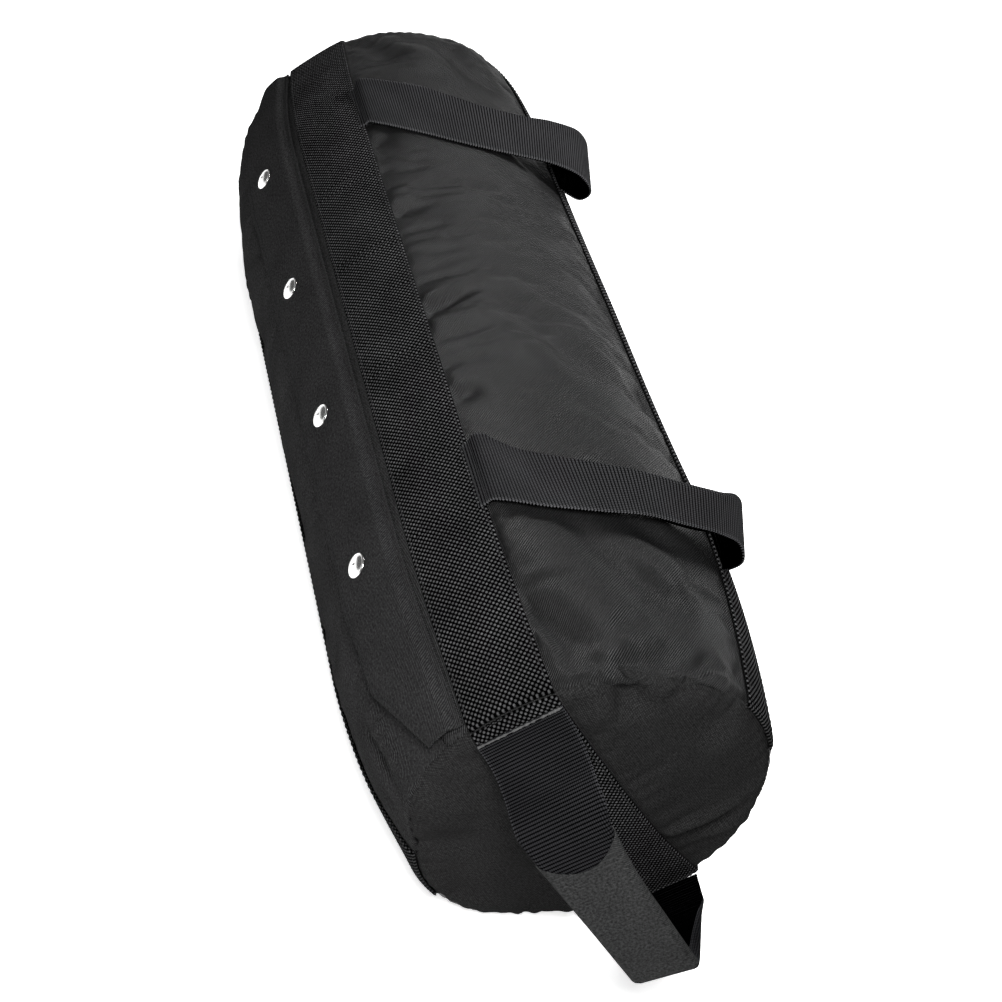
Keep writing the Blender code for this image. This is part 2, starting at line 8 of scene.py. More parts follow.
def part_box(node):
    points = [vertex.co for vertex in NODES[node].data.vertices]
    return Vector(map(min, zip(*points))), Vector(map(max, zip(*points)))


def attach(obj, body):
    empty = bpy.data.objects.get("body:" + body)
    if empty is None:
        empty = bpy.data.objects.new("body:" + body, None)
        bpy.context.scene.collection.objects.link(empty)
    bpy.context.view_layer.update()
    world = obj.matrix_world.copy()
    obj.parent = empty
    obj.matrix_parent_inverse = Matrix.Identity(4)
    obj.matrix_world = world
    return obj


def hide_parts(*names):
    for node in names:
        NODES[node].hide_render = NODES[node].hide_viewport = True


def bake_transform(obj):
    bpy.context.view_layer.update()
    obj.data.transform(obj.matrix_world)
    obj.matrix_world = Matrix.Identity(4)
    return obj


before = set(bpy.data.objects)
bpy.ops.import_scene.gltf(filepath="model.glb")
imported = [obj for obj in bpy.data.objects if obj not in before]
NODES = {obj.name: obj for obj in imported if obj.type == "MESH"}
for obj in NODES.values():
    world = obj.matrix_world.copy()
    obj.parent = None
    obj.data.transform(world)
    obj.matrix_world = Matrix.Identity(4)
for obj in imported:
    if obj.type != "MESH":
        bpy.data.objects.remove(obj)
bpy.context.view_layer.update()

# --- the bag's own sizes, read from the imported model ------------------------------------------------
SEAM_GAP = 0.0015
FLAT_HALF_ANGLE = math.radians(26.0)
TOP_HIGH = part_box("top_panel")[1]
HALF = TOP_HIGH.x + SEAM_GAP
MID_RADIUS = TOP_HIGH.z / (1 + math.cos(FLAT_HALF_ANGLE))
AXIS_HEIGHT = TOP_HIGH.z - MID_RADIUS
END_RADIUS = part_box("end_panel_near")[1].z - AXIS_HEIGHT
STRAIGHT_HALF = 0.190
TAPER = 1.7
END_DOME = 0.012
CLOTH = 0.0012

WEBBING_ANGLES = (-133.5, -46.5, 46.5, 133.5)
WEBBING_HALF = 0.025
WEBBING = 0.0015
WEBBING_LIFT = 0.0005
STRIP_TURN = math.radians(46.5)
STRAP = 0.0016
STRAP_WIDTH = 0.050

# pitches of the weaves, and the size of the webbing's dots and of the straps' ribs
PLAIN_PITCH = 0.0011
PEBBLE = 0.0032
RIB = 0.0020

HEM_ANGLE = -60.6
HINGE_ANGLE = -63.95
FLAP_ANGLE = -85.5
FLAP_END_ANGLE = -72.8
FLAP_TAPER = (0.270, 0.325)
FLAP_LIFT = 0.0036
SNAP_ANGLE = -74.4
SNAP_SPACES = (-0.195, -0.065, 0.065, 0.195)
ZIP_EDGES = (-66.2, -71.8)
ZIP_HALF = 0.176
ZIP_ANGLE = -69.0

# --- folds seen in the cloth: height (mm, below 0 for a valley), width (mm), then the line in (x, angle)
BODY_FOLDS = [
    (-3.4, 9, [(0.034, -36), (0.026, -26), (0.020, -17)]),
    (2.2, 9, [(0.0227, -36), (0.014, -26), (0.004, -17)]),
    (2.4, 11, [(0.046, -36), (0.038, -22), (0.028, -6)]),
    (-2.4, 9, [(0.118, -36), (0.1065, -24)]),
    (1.6, 10, [(0.104, -36), (0.092, -25)]),
    (-1.4, 16, [(0.0908, -14), (0.120, -4), (0.150, 6)]),
    (1.2, 16, [(0.070, -14), (0.098, -2), (0.128, 9)]),
    (-1.8, 9, [(-0.0707, -36.5), (-0.083, -25)]),
    (1.2, 10, [(-0.088, -36), (-0.099, -25)]),
    (-1.2, 10, [(-0.150, -36), (-0.158, -24)]),
    (-1.2, 14, [(-0.020, 36), (0.006, 22)]),
    (-1.4, 14, [(0.085, 36), (0.102, 24)]),
    (4.2, 10, [(-0.3156, 13), (-0.280, 17), (-0.2334, 24.4)]),
    (-4.4, 12, [(-0.300, 2), (-0.262, 11), (-0.2255, 20)]),
    (2.0, 12, [(-0.310, -16), (-0.275, -8), (-0.240, -5)]),
    (-2.0, 11, [(-0.318, -28), (-0.285, -20), (-0.255, -18)]),
    (2.6, 17, [(0.040, -24), (0.063, -14), (0.101, -4), (0.138, 3)]),
    (-2.2, 17, [(0.040, -12), (0.059, -4), (0.102, 6), (0.124, 20)]),
    (2.4, 17, [(0.030, -2), (0.046, 7), (0.075, 17), (0.101, 27)]),
    (-1.8, 16, [(-0.086, -3), (-0.066, 7), (-0.080, 27)]),
    (4.4, 17, [(0.222, -30), (0.240, -26), (0.263, -22), (0.292, -13), (0.313, -2)]),
    (-3.4, 15, [(0.236, -15), (0.254, -7), (0.279, 3), (0.292, 18)]),
    (3.2, 16, [(0.240, -8), (0.257, 0), (0.268, 12), (0.275, 28)]),
    (-4.4, 12, [(0.275, -33), (0.292, -29), (0.309, -25), (0.325, -22)]),
    (4.2, 8, [(0.288, -33), (0.305, -32), (0.331, -28.6)]),
    (-3.2, 5, [(0.286, -35.5), (0.33, -33)]),
    (2.4, 6, [(0.289, -11.5), (0.306, -16.7), (0.322, -17.4)]),
    (3.4, 9, [(0.306, -13), (0.311, -4), (0.305, 6)]),
    (-5.0, 12, [(0.325, -14), (0.319, -6), (0.319, 6), (0.327, 11)]),
    (2.8, 5, [(0.3304, 1.3), (0.325, 6), (0.3184, 10)]),
    (3.8, 6, [(0.331, 11.5), (0.322, 20), (0.3087, 28.6)]),
    (-3.4, 7, [(0.3254, 8), (0.318, 16), (0.3099, 23.1)]),
    (-3.0, 14, [(0.255, -4), (0.278, 5), (0.2963, 15.1)]),
    (2.4, 16, [(0.262, 0), (0.266, 9), (0.2693, 17)]),
    (-2.2, 10, [(0.232, 2), (0.243, 14), (0.247, 28)]),
    (2.2, 12, [(0.225, 8), (0.232, 20), (0.232, 33)]),
    (-3.2, 7, [(0.268, -98.4), (0.300, -97.5), (0.3271, -98)]),
    (2.4, 10, [(0.262, -94), (0.295, -92.5), (0.325, -92.5)]),
    (-2.4, 9, [(0.290, -112), (0.325, -109)]),
    (-1.2, 9, [(-0.290, -99), (-0.327, -96)]),
    (0.8, 12, [(-0.285, -108), (-0.325, -106)]),
    (-3.0, 12, [(-0.235, 70), (-0.290, 62), (-0.328, 64)]),
    (2.8, 13, [(-0.240, 86), (-0.290, 80), (-0.328, 82)]),
    (-3.4, 12, [(0.240, 74), (0.290, 66), (0.328, 69)]),
    (3.0, 13, [(0.235, 90), (0.290, 84), (0.328, 88)]),
    (-3.0, 11, [(0.262, 112), (0.300, 104), (0.328, 106)]),
    (-2.0, 14, [(-0.070, 121), (-0.040, 104), (-0.020, 90)]),
    (1.8, 14, [(-0.048, 121), (-0.020, 106), (0.004, 92)]),
    (-1.8, 13, [(0.090, 59), (0.072, 76), (0.064, 88)]),
    (-2.0, 13, [(0.060, -121), (0.080, -108), (0.082, -98)]),
    (-1.8, 13, [(-0.130, -121), (-0.112, -109), (-0.108, -99)]),
]

# the same on the round ends: height (mm), width (mm), line in (u, w) metres along and across the strip
END_FOLDS = [
    (-4.0, 9, [(0.096, -0.0541), (0.074, -0.0562), (0.0563, -0.0551)]),
    (2.4, 9, [(0.092, -0.040), (0.071, -0.0425), (0.052, -0.043)]),
    (1.6, 12, [(0.078, -0.070), (0.060, -0.072)]),
    (2.6, 6, [(-0.044, -0.0261), (-0.050, -0.058), (-0.0533, -0.0911)]),
    (-2.2, 6, [(-0.054, -0.0261), (-0.059, -0.056), (-0.062, -0.086)]),
    (2.4, 6, [(-0.066, -0.030), (-0.071, -0.056), (-0.072, -0.078)]),
    (-2.4, 12, [(0.040, 0.094), (0.030, 0.070), (0.026, 0.045)]),
    (1.8, 12, [(0.062, 0.080), (0.050, 0.062), (0.043, 0.045)]),
    (-1.8, 13, [(-0.020, 0.100), (-0.018, 0.070)]),
    (1.6, 16, [(0.010, -0.098), (0.004, -0.060)]),
    (-1.8, 14, [(0.028, -0.098), (0.020, -0.064)]),
]

# how the folds are cut: times their heights, times their widths, and the most that they may add up to (m)
FOLD_STRENGTH = 1.65
FOLD_SOFTNESS = 0.70
FOLD_LIMIT = 0.0060
SEAM_CREASE = 0.0022

# where the filled bag stands in or out from an even barrel: mm, x, angle, reach along x, reach in degrees
SAGS = [
    (-6.0, -0.335, -50, 0.060, 22), (1.5, -0.30, -104, 0.050, 16), (-7.0, 0.090, 66, 0.110, 24),
    (-3.0, 0.110, -101, 0.090, 14), (8.5, 0.340, 128, 0.060, 34), (8.0, -0.300, 30, 0.070, 24),
    (-6.0, 0.335, -116, 0.040, 18), (3.5, 0.335, -165, 0.040, 22), (-2.5, -0.10, 60, 0.10, 22),
]


# --- shapes in numbers ------------------------------------------------------------------------------
def smooth(low, high, value):
    t = np.clip((value - low) / (high - low), 0.0, 1.0)
    return t * t * (3 - 2 * t)


def noise(a, b, seed):
    """Smooth noise from -1 to 1, one cell to a unit, the same every run."""
    table = np.random.RandomState(seed).uniform(-1, 1, (64, 64))
    i, j = np.floor(a).astype(int), np.floor(b).astype(int)
    s, t = a - i, b - j
    s, t = s * s * (3 - 2 * s), t * t * (3 - 2 * t)
    low = table[i % 64, j % 64] * (1 - s) + table[(i + 1) % 64, j % 64] * s
    high = table[i % 64, (j + 1) % 64] * (1 - s) + table[(i + 1) % 64, (j + 1) % 64] * s
    return low * (1 - t) + high * t


def distance(a, b, line):
    """How far each point (a, b) lies from a line of short straight runs, and how far along it, 0 to 1."""
    best = np.full(np.shape(a), np.inf)
    along = np.zeros(np.shape(a))
    for k, ((a0, b0), (a1, b1)) in enumerate(zip(line, line[1:])):
        da, db = a1 - a0, b1 - b0
        t = np.clip(((a - a0) * da + (b - b0) * db) / (da * da + db * db), 0, 1)
        gap = np.hypot(a - a0 - t * da, b - b0 - t * db)
        along = np.where(gap < best, (k + t) / (len(line) - 1), along)
        best = np.minimum(best, gap)
    return best, along


def folded(a, b, folds, scale):
    """The height that a list of folds adds at each point; scale turns a line's second number to metres."""
    height = np.zeros(np.shape(a))
    for tall, wide, line in folds:
        rail = smooth_line([(p, q * scale) for p, q in line])
        gap, along = distance(a, b, rail)
        fade = smooth(-0.25, 0.35, along) * (1 - smooth(0.45, 1.0, along))
        width = wide / 1000 * FOLD_SOFTNESS * (1 + 0.8 * along)
        height += FOLD_STRENGTH * tall / 1000 * fade * np.exp(-((gap / width) ** 2))
    return height


def smooth_line(points, per=5):
    """A Catmull-Rom curve through points of any length, per steps between two of them."""
    p = np.array(points, float)
    p = np.vstack([2 * p[0] - p[1], p, 2 * p[-1] - p[-2]])
    out = []
    for k in range(1, len(p) - 2):
        for t in np.arange(per) / per:
            out.append(0.5 * (2 * p[k] + (p[k + 1] - p[k - 1]) * t
                              + (2 * p[k - 1] - 5 * p[k] + 4 * p[k + 1] - p[k + 2]) * t**2
                              + (3 * p[k] - p[k - 1] - 3 * p[k + 1] + p[k + 2]) * t**3))
    return np.array(out + [p[-2]])


def barrel_radius(x):
    past = np.clip((np.abs(x) - STRAIGHT_HALF) / (HALF - STRAIGHT_HALF), 0, 1)
    return MID_RADIUS - (MID_RADIUS - END_RADIUS) * past**TAPER


def sag(x, angle):
    wrapped = (np.asarray(angle, float) + 180) % 360 - 180
    return sum(mm / 1000 * np.exp(-(((x - sx) / reach) ** 2) - ((wrapped - turn) / wide) ** 2)
               for mm, sx, turn, reach, wide in SAGS)


def on_bag(x, angle, off=0.0):
    """Points on the bag, angle degrees round from straight up towards the rear, off metres proud of it."""
    r = barrel_radius(x) + sag(x, angle) + off
    a = np.radians(angle)
    z = np.maximum(AXIS_HEIGHT + r * np.cos(a), 0.0)
    return np.stack([np.broadcast_to(x, np.shape(z)), r * np.sin(a), z], axis=-1)


def past_webbing(angle, x):
    """Metres from the nearest webbing's edge, below zero under it."""
    wrapped = (np.asarray(angle) + 180) % 360 - 180
    near = np.min([np.abs(wrapped - a) for a in WEBBING_ANGLES], axis=0)
    return np.radians(near) * barrel_radius(x) - WEBBING_HALF


def seam_pinch(x):
    """The groove where a panel turns in to its seam with the round end."""
    wave = 1 + 0.25 * noise(np.ones(np.shape(x)), np.asarray(x) * 40, 5)
    gap = HALF - np.abs(x)
    return -0.0022 * wave * np.exp(-((gap / 0.0055) ** 2)) - 0.0038 * np.exp(-((gap / SEAM_CREASE) ** 2))


def bag_relief(x, angle):
    """Folds, puckers and slackness of the cloth between its seams."""
    free = past_webbing(angle, x)
    calm = 1 - smooth(-90, -84, angle) * (1 - smooth(-60, -56, angle))
    open_cloth = smooth(-0.0005, 0.004, free) * calm
    t = np.radians(angle) * MID_RADIUS
    height = folded(x, t, BODY_FOLDS, math.radians(1) * MID_RADIUS)
    height += 0.0011 * noise(x / 0.040, t / 0.052, 1) + 0.0005 * noise(x / 0.016, t / 0.021, 2)
    height += 0.0010 * smooth(0.0, 0.03, free)
    along = x / 0.0095 + 0.6 * noise(x / 0.03, t / 0.03, 3)
    height += 0.00045 * np.sin(2 * np.pi * along) * np.exp(-free / 0.006) * noise(x / 0.02, t * 0, 4)
    rim = np.exp(-(HALF - np.abs(x)) / 0.010)
    height += 0.0007 * rim * np.sin(2 * np.pi * t / 0.011 + 3 * noise(x * 0, t / 0.04, 6))
    height = FOLD_LIMIT * np.tanh(height / FOLD_LIMIT)
    return open_cloth * height + seam_pinch(x) * smooth(-0.003, 0.002, free)


def end_frame(side):
    """A round end's centre, and the directions along its strip, across it and outward."""
    along = np.array([0, -math.sin(STRIP_TURN), math.cos(STRIP_TURN)])
    across = np.array([0, -math.cos(STRIP_TURN), -math.sin(STRIP_TURN)])
    return np.array([side * HALF, 0, AXIS_HEIGHT]), along, across, np.array([side, 0, 0])


def on_end(side, u, w, off):
    centre, along, across, out = end_frame(side)
    u, w, off = np.broadcast_arrays(u, w, off)
    arm = u[..., None] * along + w[..., None] * across
    rho = np.hypot(u, w)
    angle = np.degrees(np.arctan2(arm[..., 1], arm[..., 2]))
    grow = 1 + sag(side * HALF, angle) / END_RADIUS * smooth(0.4, 1.0, rho / END_RADIUS)
    return centre + arm * grow[..., None] + off[..., None] * out


def dome(u, w):
    return END_DOME * (1 - (np.hypot(u, w) / END_RADIUS) ** 2)


# --- meshes -----------------------------------------------------------------------------------------
def new_mesh(name, points, faces, weave=None, mat=None):
    mesh = bpy.data.meshes.new(name)
    mesh.from_pydata(np.asarray(points, float).reshape(-1, 3).tolist(), [], faces)
    mesh.polygons.foreach_set("use_smooth", [True] * len(mesh.polygons))
    if weave is not None:
        flat = np.zeros((len(mesh.vertices), 3), np.float32)
        flat[:, :2] = np.asarray(weave, float).reshape(-1, 2)
        mesh.attributes.new("weave", "FLOAT_VECTOR", "POINT").data.foreach_set("vector", flat.ravel())
    mesh.update()
    obj = bpy.data.objects.new(name, mesh)
    bpy.context.scene.collection.objects.link(obj)
    if mat is not None:
        mesh.materials.append(mat)
    return obj


def settle(obj, body, slot_name, *nodes):
    """Rides a piece on a body in place of its CAD nodes, which it hides; slot_name is not used."""
    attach(obj, body)
    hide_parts(*nodes)


def grid_faces(n, m, closed=False, flip=False):
    i, j = np.meshgrid(np.arange(n - 1), np.arange(m if closed else m - 1), indexing="ij")
    k = (j + 1) % m
    quads = np.stack([i * m + j, (i + 1) * m + j, (i + 1) * m + k, i * m + k], axis=-1).reshape(-1, 4)
    return (quads[:, ::-1] if flip else quads).tolist()


def sheet_mesh(name, points, weave, mat, thickness, offset=-1.0, flip=False):
    """A grid of points as cloth of a real thickness, laid inward from its outer face."""
    n, m = points.shape[:2]
    obj = new_mesh(name, points, grid_faces(n, m, flip=flip), weave, mat)
    solid = obj.modifiers.new("thickness", "SOLIDIFY")
    solid.thickness = thickness
    solid.offset = offset
    solid.use_rim = True
    return obj


def loft_mesh(name, rings, weave, mat, flip=False):
    """Closed rings joined into a solid with flat ends."""
    n, m = rings.shape[:2]
    faces = grid_faces(n, m, closed=True, flip=flip)
    first, last = list(range(m)), [(n - 1) * m + j for j in range(m)]
    faces += [first if not flip else first[::-1], last[::-1] if not flip else last]
    return new_mesh(name, rings, faces, weave, mat)


def turned(name, profile, places, axes, mat, steps=40):
    """The same turned shape at several places, each standing along its own axis."""
    points, faces = [], []
    profile = np.array(profile, float)
    turn = np.linspace(0, 2 * np.pi, steps, endpoint=False)
    for place, axis in zip(places, axes):
        axis = Vector(axis).normalized()
        side = axis.orthogonal().normalized()
        other = axis.cross(side)
        base = sum(len(p) for p in points)
        ring = np.array([[np.array(place) + r * (math.cos(a) * np.array(side) + math.sin(a) * np.array(other))
                          + h * np.array(axis) for a in turn] for r, h in profile])
        points.append(ring.reshape(-1, 3))
        faces += [[base + v for v in f] for f in grid_faces(len(profile), steps, closed=True, flip=True)]
        faces.append([base + v for v in range(steps)])
        faces.append([base + (len(profile) - 1) * steps + v for v in range(steps)][::-1])
    return new_mesh(name, np.vstack(points), faces, None, mat)


def tube_points(path, radius, sides=6):
    """Rings of a round thread along a path."""
    path = np.asarray(path, float)
    step = np.gradient(path, axis=0)
    step /= np.linalg.norm(step, axis=1)[:, None]
    side = np.cross(step, [0.31, 0.52, 0.79])
    side /= np.linalg.norm(side, axis=1)[:, None]
    other = np.cross(step, side)
    turn = np.linspace(0, 2 * np.pi, sides, endpoint=False)
    radius = np.broadcast_to(radius, len(path))[:, None, None]
    return path[:, None] + radius * (np.cos(turn)[None, :, None] * side[:, None]
                                     + np.sin(turn)[None, :, None] * other[:, None])


class Threads:
    """Sewn stitches gathered into one mesh."""

    def __init__(self):
        self.points, self.faces, self.count = [], [], 0

    def add(self, path, radius, sides=5):
        rings = tube_points(path, radius, sides)
        n, m = rings.shape[:2]
        for f in grid_faces(n, m, closed=True):
            self.faces.append([self.count + v for v in f])
        self.faces.append([self.count + v for v in range(m)])
        self.faces.append([self.count + (n - 1) * m + v for v in range(m)][::-1])
        self.points.append(rings.reshape(-1, 3))
        self.count += n * m

    def run(self, path, normals, pitch=0.0036, gap=0.0008, radius=0.00028, proud=0.0):
        """Stitches one after another along a path, each dipping into the cloth at both its ends."""
        path, normals = np.asarray(path, float), np.asarray(normals, float)
        arc = np.concatenate([[0], np.cumsum(np.linalg.norm(np.diff(path, axis=0), axis=1))])
        for k in range(int(arc[-1] / pitch)):
            s = np.linspace(k * pitch + gap / 2, (k + 1) * pitch - gap / 2, 5)
            spots = np.stack([np.interp(s, arc, path[:, c]) for c in range(3)], axis=-1)
            up = np.stack([np.interp(s, arc, normals[:, c]) for c in range(3)], axis=-1)
            lift = proud + radius * np.array([-1.3, 0.5, 1.0, 0.5, -1.3])
            self.add(spots + lift[:, None] * up, radius)

    def mesh(self, name, mat):
        return new_mesh(name, np.vstack(self.points), self.faces, None, mat)


# --- materials --------------------------------------------------------------------------------------
class Finish:
    """A procedural material built round one Principled shader."""

    def __init__(self, name, colour, roughness, metallic=0.0, specular=0.5, sheen=0.0):
        self.mat = bpy.data.materials.new(name)
        self.mat.use_nodes = True
        self.tree = self.mat.node_tree
        self.shader = self.tree.nodes["Principled BSDF"]
        self.colour = colour
        self.shader.inputs["Metallic"].default_value = metallic
        self.shader.inputs["Specular IOR Level"].default_value = specular
        self.shader.inputs["Sheen Weight"].default_value = sheen
        self.shader.inputs["Sheen Roughness"].default_value = 0.4
        self.shader.inputs["Roughness"].default_value = roughness

    def node(self, kind, **values):
        made = self.tree.nodes.new(kind)
        for key, value in values.items():
            setattr(made, key, value)
        return made

    def put(self, target, value):
        if isinstance(value, bpy.types.NodeSocket):
            self.tree.links.new(value, target)
        else:
            target.default_value = value

    def math(self, operation, *values):
        made = self.node("ShaderNodeMath", operation=operation)
        for k, value in enumerate(values):
            self.put(made.inputs[k], value)
        return made.outputs[0]

    def weave(self):
        """Along and across the cloth, in metres."""
        where = self.node("ShaderNodeAttribute", attribute_name="weave")
        parts = self.node("ShaderNodeSeparateXYZ")
        self.tree.links.new(where.outputs["Vector"], parts.inputs[0])
        self.vector = where.outputs["Vector"]
        return parts.outputs[0], parts.outputs[1]

    def place(self):
        """Position on the piece itself, for hard parts."""
        where = self.node("ShaderNodeTexCoord")
        self.vector = where.outputs["Object"]
        parts = self.node("ShaderNodeSeparateXYZ")
        self.tree.links.new(self.vector, parts.inputs[0])
        return parts.outputs

    def noise(self, scale, detail=2.0, roughness=0.5):
        made = self.node("ShaderNodeTexNoise")
        self.tree.links.new(self.vector, made.inputs["Vector"])
        made.inputs["Scale"].default_value = scale
        made.inputs["Detail"].default_value = detail
        made.inputs["Roughness"].default_value = roughness
        return made.outputs["Fac"]

    def wave(self, value, pitch, shift=0.0):
        """A cosine from 0 to 1 along a coordinate in metres."""
        angle = self.math("MULTIPLY_ADD", value, 2 * math.pi / pitch, shift)
        return self.math("MULTIPLY_ADD", self.math("COSINE", angle), 0.5, 0.5)

    def spread(self, value, low, high, to_low, to_high):
        made = self.node("ShaderNodeMapRange")
        for k, v in enumerate((value, low, high, to_low, to_high)):
            self.put(made.inputs[k], v)
        return made.outputs[0]

    def paint(self, brightness, tint=(1.0, 1.0, 1.0)):
        """The base colour times a brightness that changes over the surface."""
        made = self.node("ShaderNodeVectorMath", operation="SCALE")
        made.inputs[0].default_value = [c * t for c, t in zip(self.colour, tint)]
        self.put(made.inputs["Scale"], brightness)
        self.put(self.shader.inputs["Base Color"], made.outputs[0])

    def vary(self, shade, value, to_low, to_high, low=0.3, high=0.7):
        """A brightness times another that follows a pattern."""
        return self.math("MULTIPLY", shade, self.spread(value, low, high, to_low, to_high))

    def roughen(self, value, low, high):
        self.put(self.shader.inputs["Roughness"], self.spread(value, 0.0, 1.0, low, high))

    def bump(self, height, distance_, strength=1.0):
        made = self.node("ShaderNodeBump")
        made.inputs["Strength"].default_value = strength
        made.inputs["Distance"].default_value = distance_
        self.put(made.inputs["Height"], height)
        self.put(self.shader.inputs["Normal"], made.outputs[0])


def twill(name, colour, roughness, specular, contrast, pitch=0.00175, tall=0.00012, seam=False):
    f = Finish(name, colour, roughness, specular=specular)
    u, v = f.weave()
    diagonal = f.wave(f.math("ADD", u, v), pitch)
    cross = f.wave(f.math("SUBTRACT", u, v), pitch * 0.47)
    threads = f.math("MULTIPLY_ADD", cross, 0.25, f.math("MULTIPLY", diagonal, 0.75))
    cloud, grain = f.noise(28.0, 3.0), f.noise(650.0, 2.0, 0.7)
    # Painted sheen and shade: the diagonal threads are painted lighter and the gaps between them darker, by
    # the contrast either way.
    shade = f.spread(threads, 0.0, 1.0, 1 - contrast, 1 + contrast)
    shade = f.vary(shade, cloud, 0.88, 1.12)
    shade = f.vary(shade, grain, 0.45, 1.55)
    # Painted shade: with seam set, the cloth darkens to a twentieth of its colour within about 1.2 mm of the
    # seam, fading out by 2.8 mm, where the seam's crease lies in shade.
    if seam:
        edge = f.math("SUBTRACT", HALF, f.math("ABSOLUTE", u))
        shade = f.vary(shade, edge, 0.05, 1.0, 0.0012, 0.0028)
    f.paint(shade)
    blend = f.math("MULTIPLY_ADD", cloud, 0.5, f.math("MULTIPLY", threads, 0.5))
    f.roughen(blend, roughness + 0.16, roughness - 0.10)
    f.bump(f.math("MULTIPLY_ADD", grain, 0.35, threads), tall, 1.0)
    return f.mat


def plain_weave(name, colour, roughness, specular, contrast, sheen=0.0, tall=0.00010):
    f = Finish(name, colour, roughness, specular=specular, sheen=sheen)
    u, v = f.weave()
    threads = f.math("MULTIPLY", f.wave(u, PLAIN_PITCH), f.wave(v, PLAIN_PITCH))
    cloud, grain = f.noise(24.0, 3.0), f.noise(700.0, 2.0, 0.7)
    shade = f.spread(threads, 0.0, 1.0, 1 - contrast, 1 + contrast)
    shade = f.vary(shade, cloud, 0.88, 1.12)
    shade = f.vary(shade, grain, 0.5, 1.5)
    f.paint(shade)
    f.roughen(cloud, roughness - 0.05, roughness + 0.08)
    f.bump(f.math("MULTIPLY_ADD", grain, 0.35, threads), tall, 0.8)
    return f.mat


def pebbled(name, colour):
    """Coarse webbing: staggered round threads, with painted highlights on the raised threads and painted
    shade in the gaps between them.
    """
    f = Finish(name, colour, 0.6, specular=0.0)
    u, v = f.weave()
    lobes = f.math("MULTIPLY", f.wave(u, PEBBLE), f.wave(v, PEBBLE))
    shifted = f.math("MULTIPLY", f.wave(u, PEBBLE, math.pi), f.wave(v, PEBBLE, math.pi))
    dots = f.math("MAXIMUM", lobes, shifted)
    cloud, grain = f.noise(30.0, 3.0), f.noise(500.0, 2.0)
    # Painted highlight and shade: the raised threads are painted up to twelve times the base colour, the gaps
    # near black.
    shade = f.spread(dots, 0.40, 0.98, 0.06, 12.0)
    shade = f.vary(shade, cloud, 0.75, 1.25)
    shade = f.vary(shade, grain, 0.6, 1.4)
    f.paint(shade)
    f.roughen(dots, 0.75, 0.42)
    f.bump(f.math("MULTIPLY_ADD", grain, 0.2, dots), 0.0003, 0.8)
    return f.mat


def ribbed(name, colour):
    """Strap webbing: ribs across its width, each a row of small threads, with a painted highlight along both
    edges where the rib ends catch the light.
    """
    f = Finish(name, colour, 0.6, specular=0.0)
    u, v = f.weave()
    ribs = f.wave(u, RIB)
    beads = f.wave(v, 0.0011)
    edge = f.math("MINIMUM", f.math("ABSOLUTE", v), f.math("ABSOLUTE", f.math("SUBTRACT", v, STRAP_WIDTH)))
    # Painted highlight: the colour rises to twice the base towards both edges, where the ends of the ribs
    # catch the light.
    edge_highlight = f.spread(edge, 0.0, 0.0018, 1.0, 0.0)
    cloud, grain = f.noise(30.0, 3.0), f.noise(1500.0, 2.0)
    threads = f.math("MULTIPLY", ribs, f.spread(beads, 0.0, 1.0, 0.65, 1.0))
    # Painted highlight and shade: the colour runs from black between the ribs to fourteen times the base on
    # their crests.
    shade = f.spread(threads, 0.45, 0.95, 0.0, 14.0)
    shade = f.math("MULTIPLY", shade, f.math("ADD", 1.0, f.math("MULTIPLY", edge_highlight, 1.0)))
    shade = f.vary(shade, cloud, 0.85, 1.15)
    shade = f.vary(shade, grain, 0.8, 1.2)
    f.paint(shade)
    f.roughen(threads, 0.7, 0.45)
    f.bump(f.math("MULTIPLY_ADD", grain, 0.2, threads), 0.00022, 0.8)
    return f.mat


def metal(name, colour, roughness):
    f = Finish(name, colour, roughness, metallic=1.0)
    f.place()
    scratch, spots = f.noise(420.0, 4.0, 0.6), f.noise(90.0, 2.0)
    f.paint(f.spread(spots, 0.3, 0.7, 0.92, 1.0))
    f.roughen(scratch, roughness - 0.06, roughness + 0.10)
    f.bump(scratch, 0.00003, 0.5)
    return f.mat


def plastic(name, colour, roughness):
    f = Finish(name, colour, roughness, specular=0.5)
    f.place()
    cloud, grain = f.noise(60.0, 3.0), f.noise(900.0, 2.0)
    f.paint(f.spread(cloud, 0.3, 0.7, 0.85, 1.15))
    f.roughen(grain, roughness - 0.06, roughness + 0.08)
    f.bump(grain, 0.00003, 0.6)
    return f.mat


def thread(name, colour):
    f = Finish(name, colour, 0.5, specular=0.0)
    x, y, z = f.place()
    twist = f.wave(f.math("ADD", x, f.math("ADD", y, z)), 0.0005)
    f.paint(f.spread(twist, 0.0, 1.0, 0.7, 1.3))
    f.roughen(twist, 0.6, 0.42)
    f.bump(twist, 0.00004, 0.6)
    return f.mat


def grains(name, colour):
    f = Finish(name, colour, 0.9, specular=0.3)
    f.place()
    cell = f.node("ShaderNodeTexVoronoi")
    f.tree.links.new(f.vector, cell.inputs["Vector"])
    cell.inputs["Scale"].default_value = 900.0
    f.paint(f.spread(cell.outputs["Distance"], 0.0, 0.7, 1.2, 0.6))
    f.roughen(f.noise(200.0), 0.8, 1.0)
    f.bump(cell.outputs["Distance"], 0.0006, 0.8)
    return f.mat


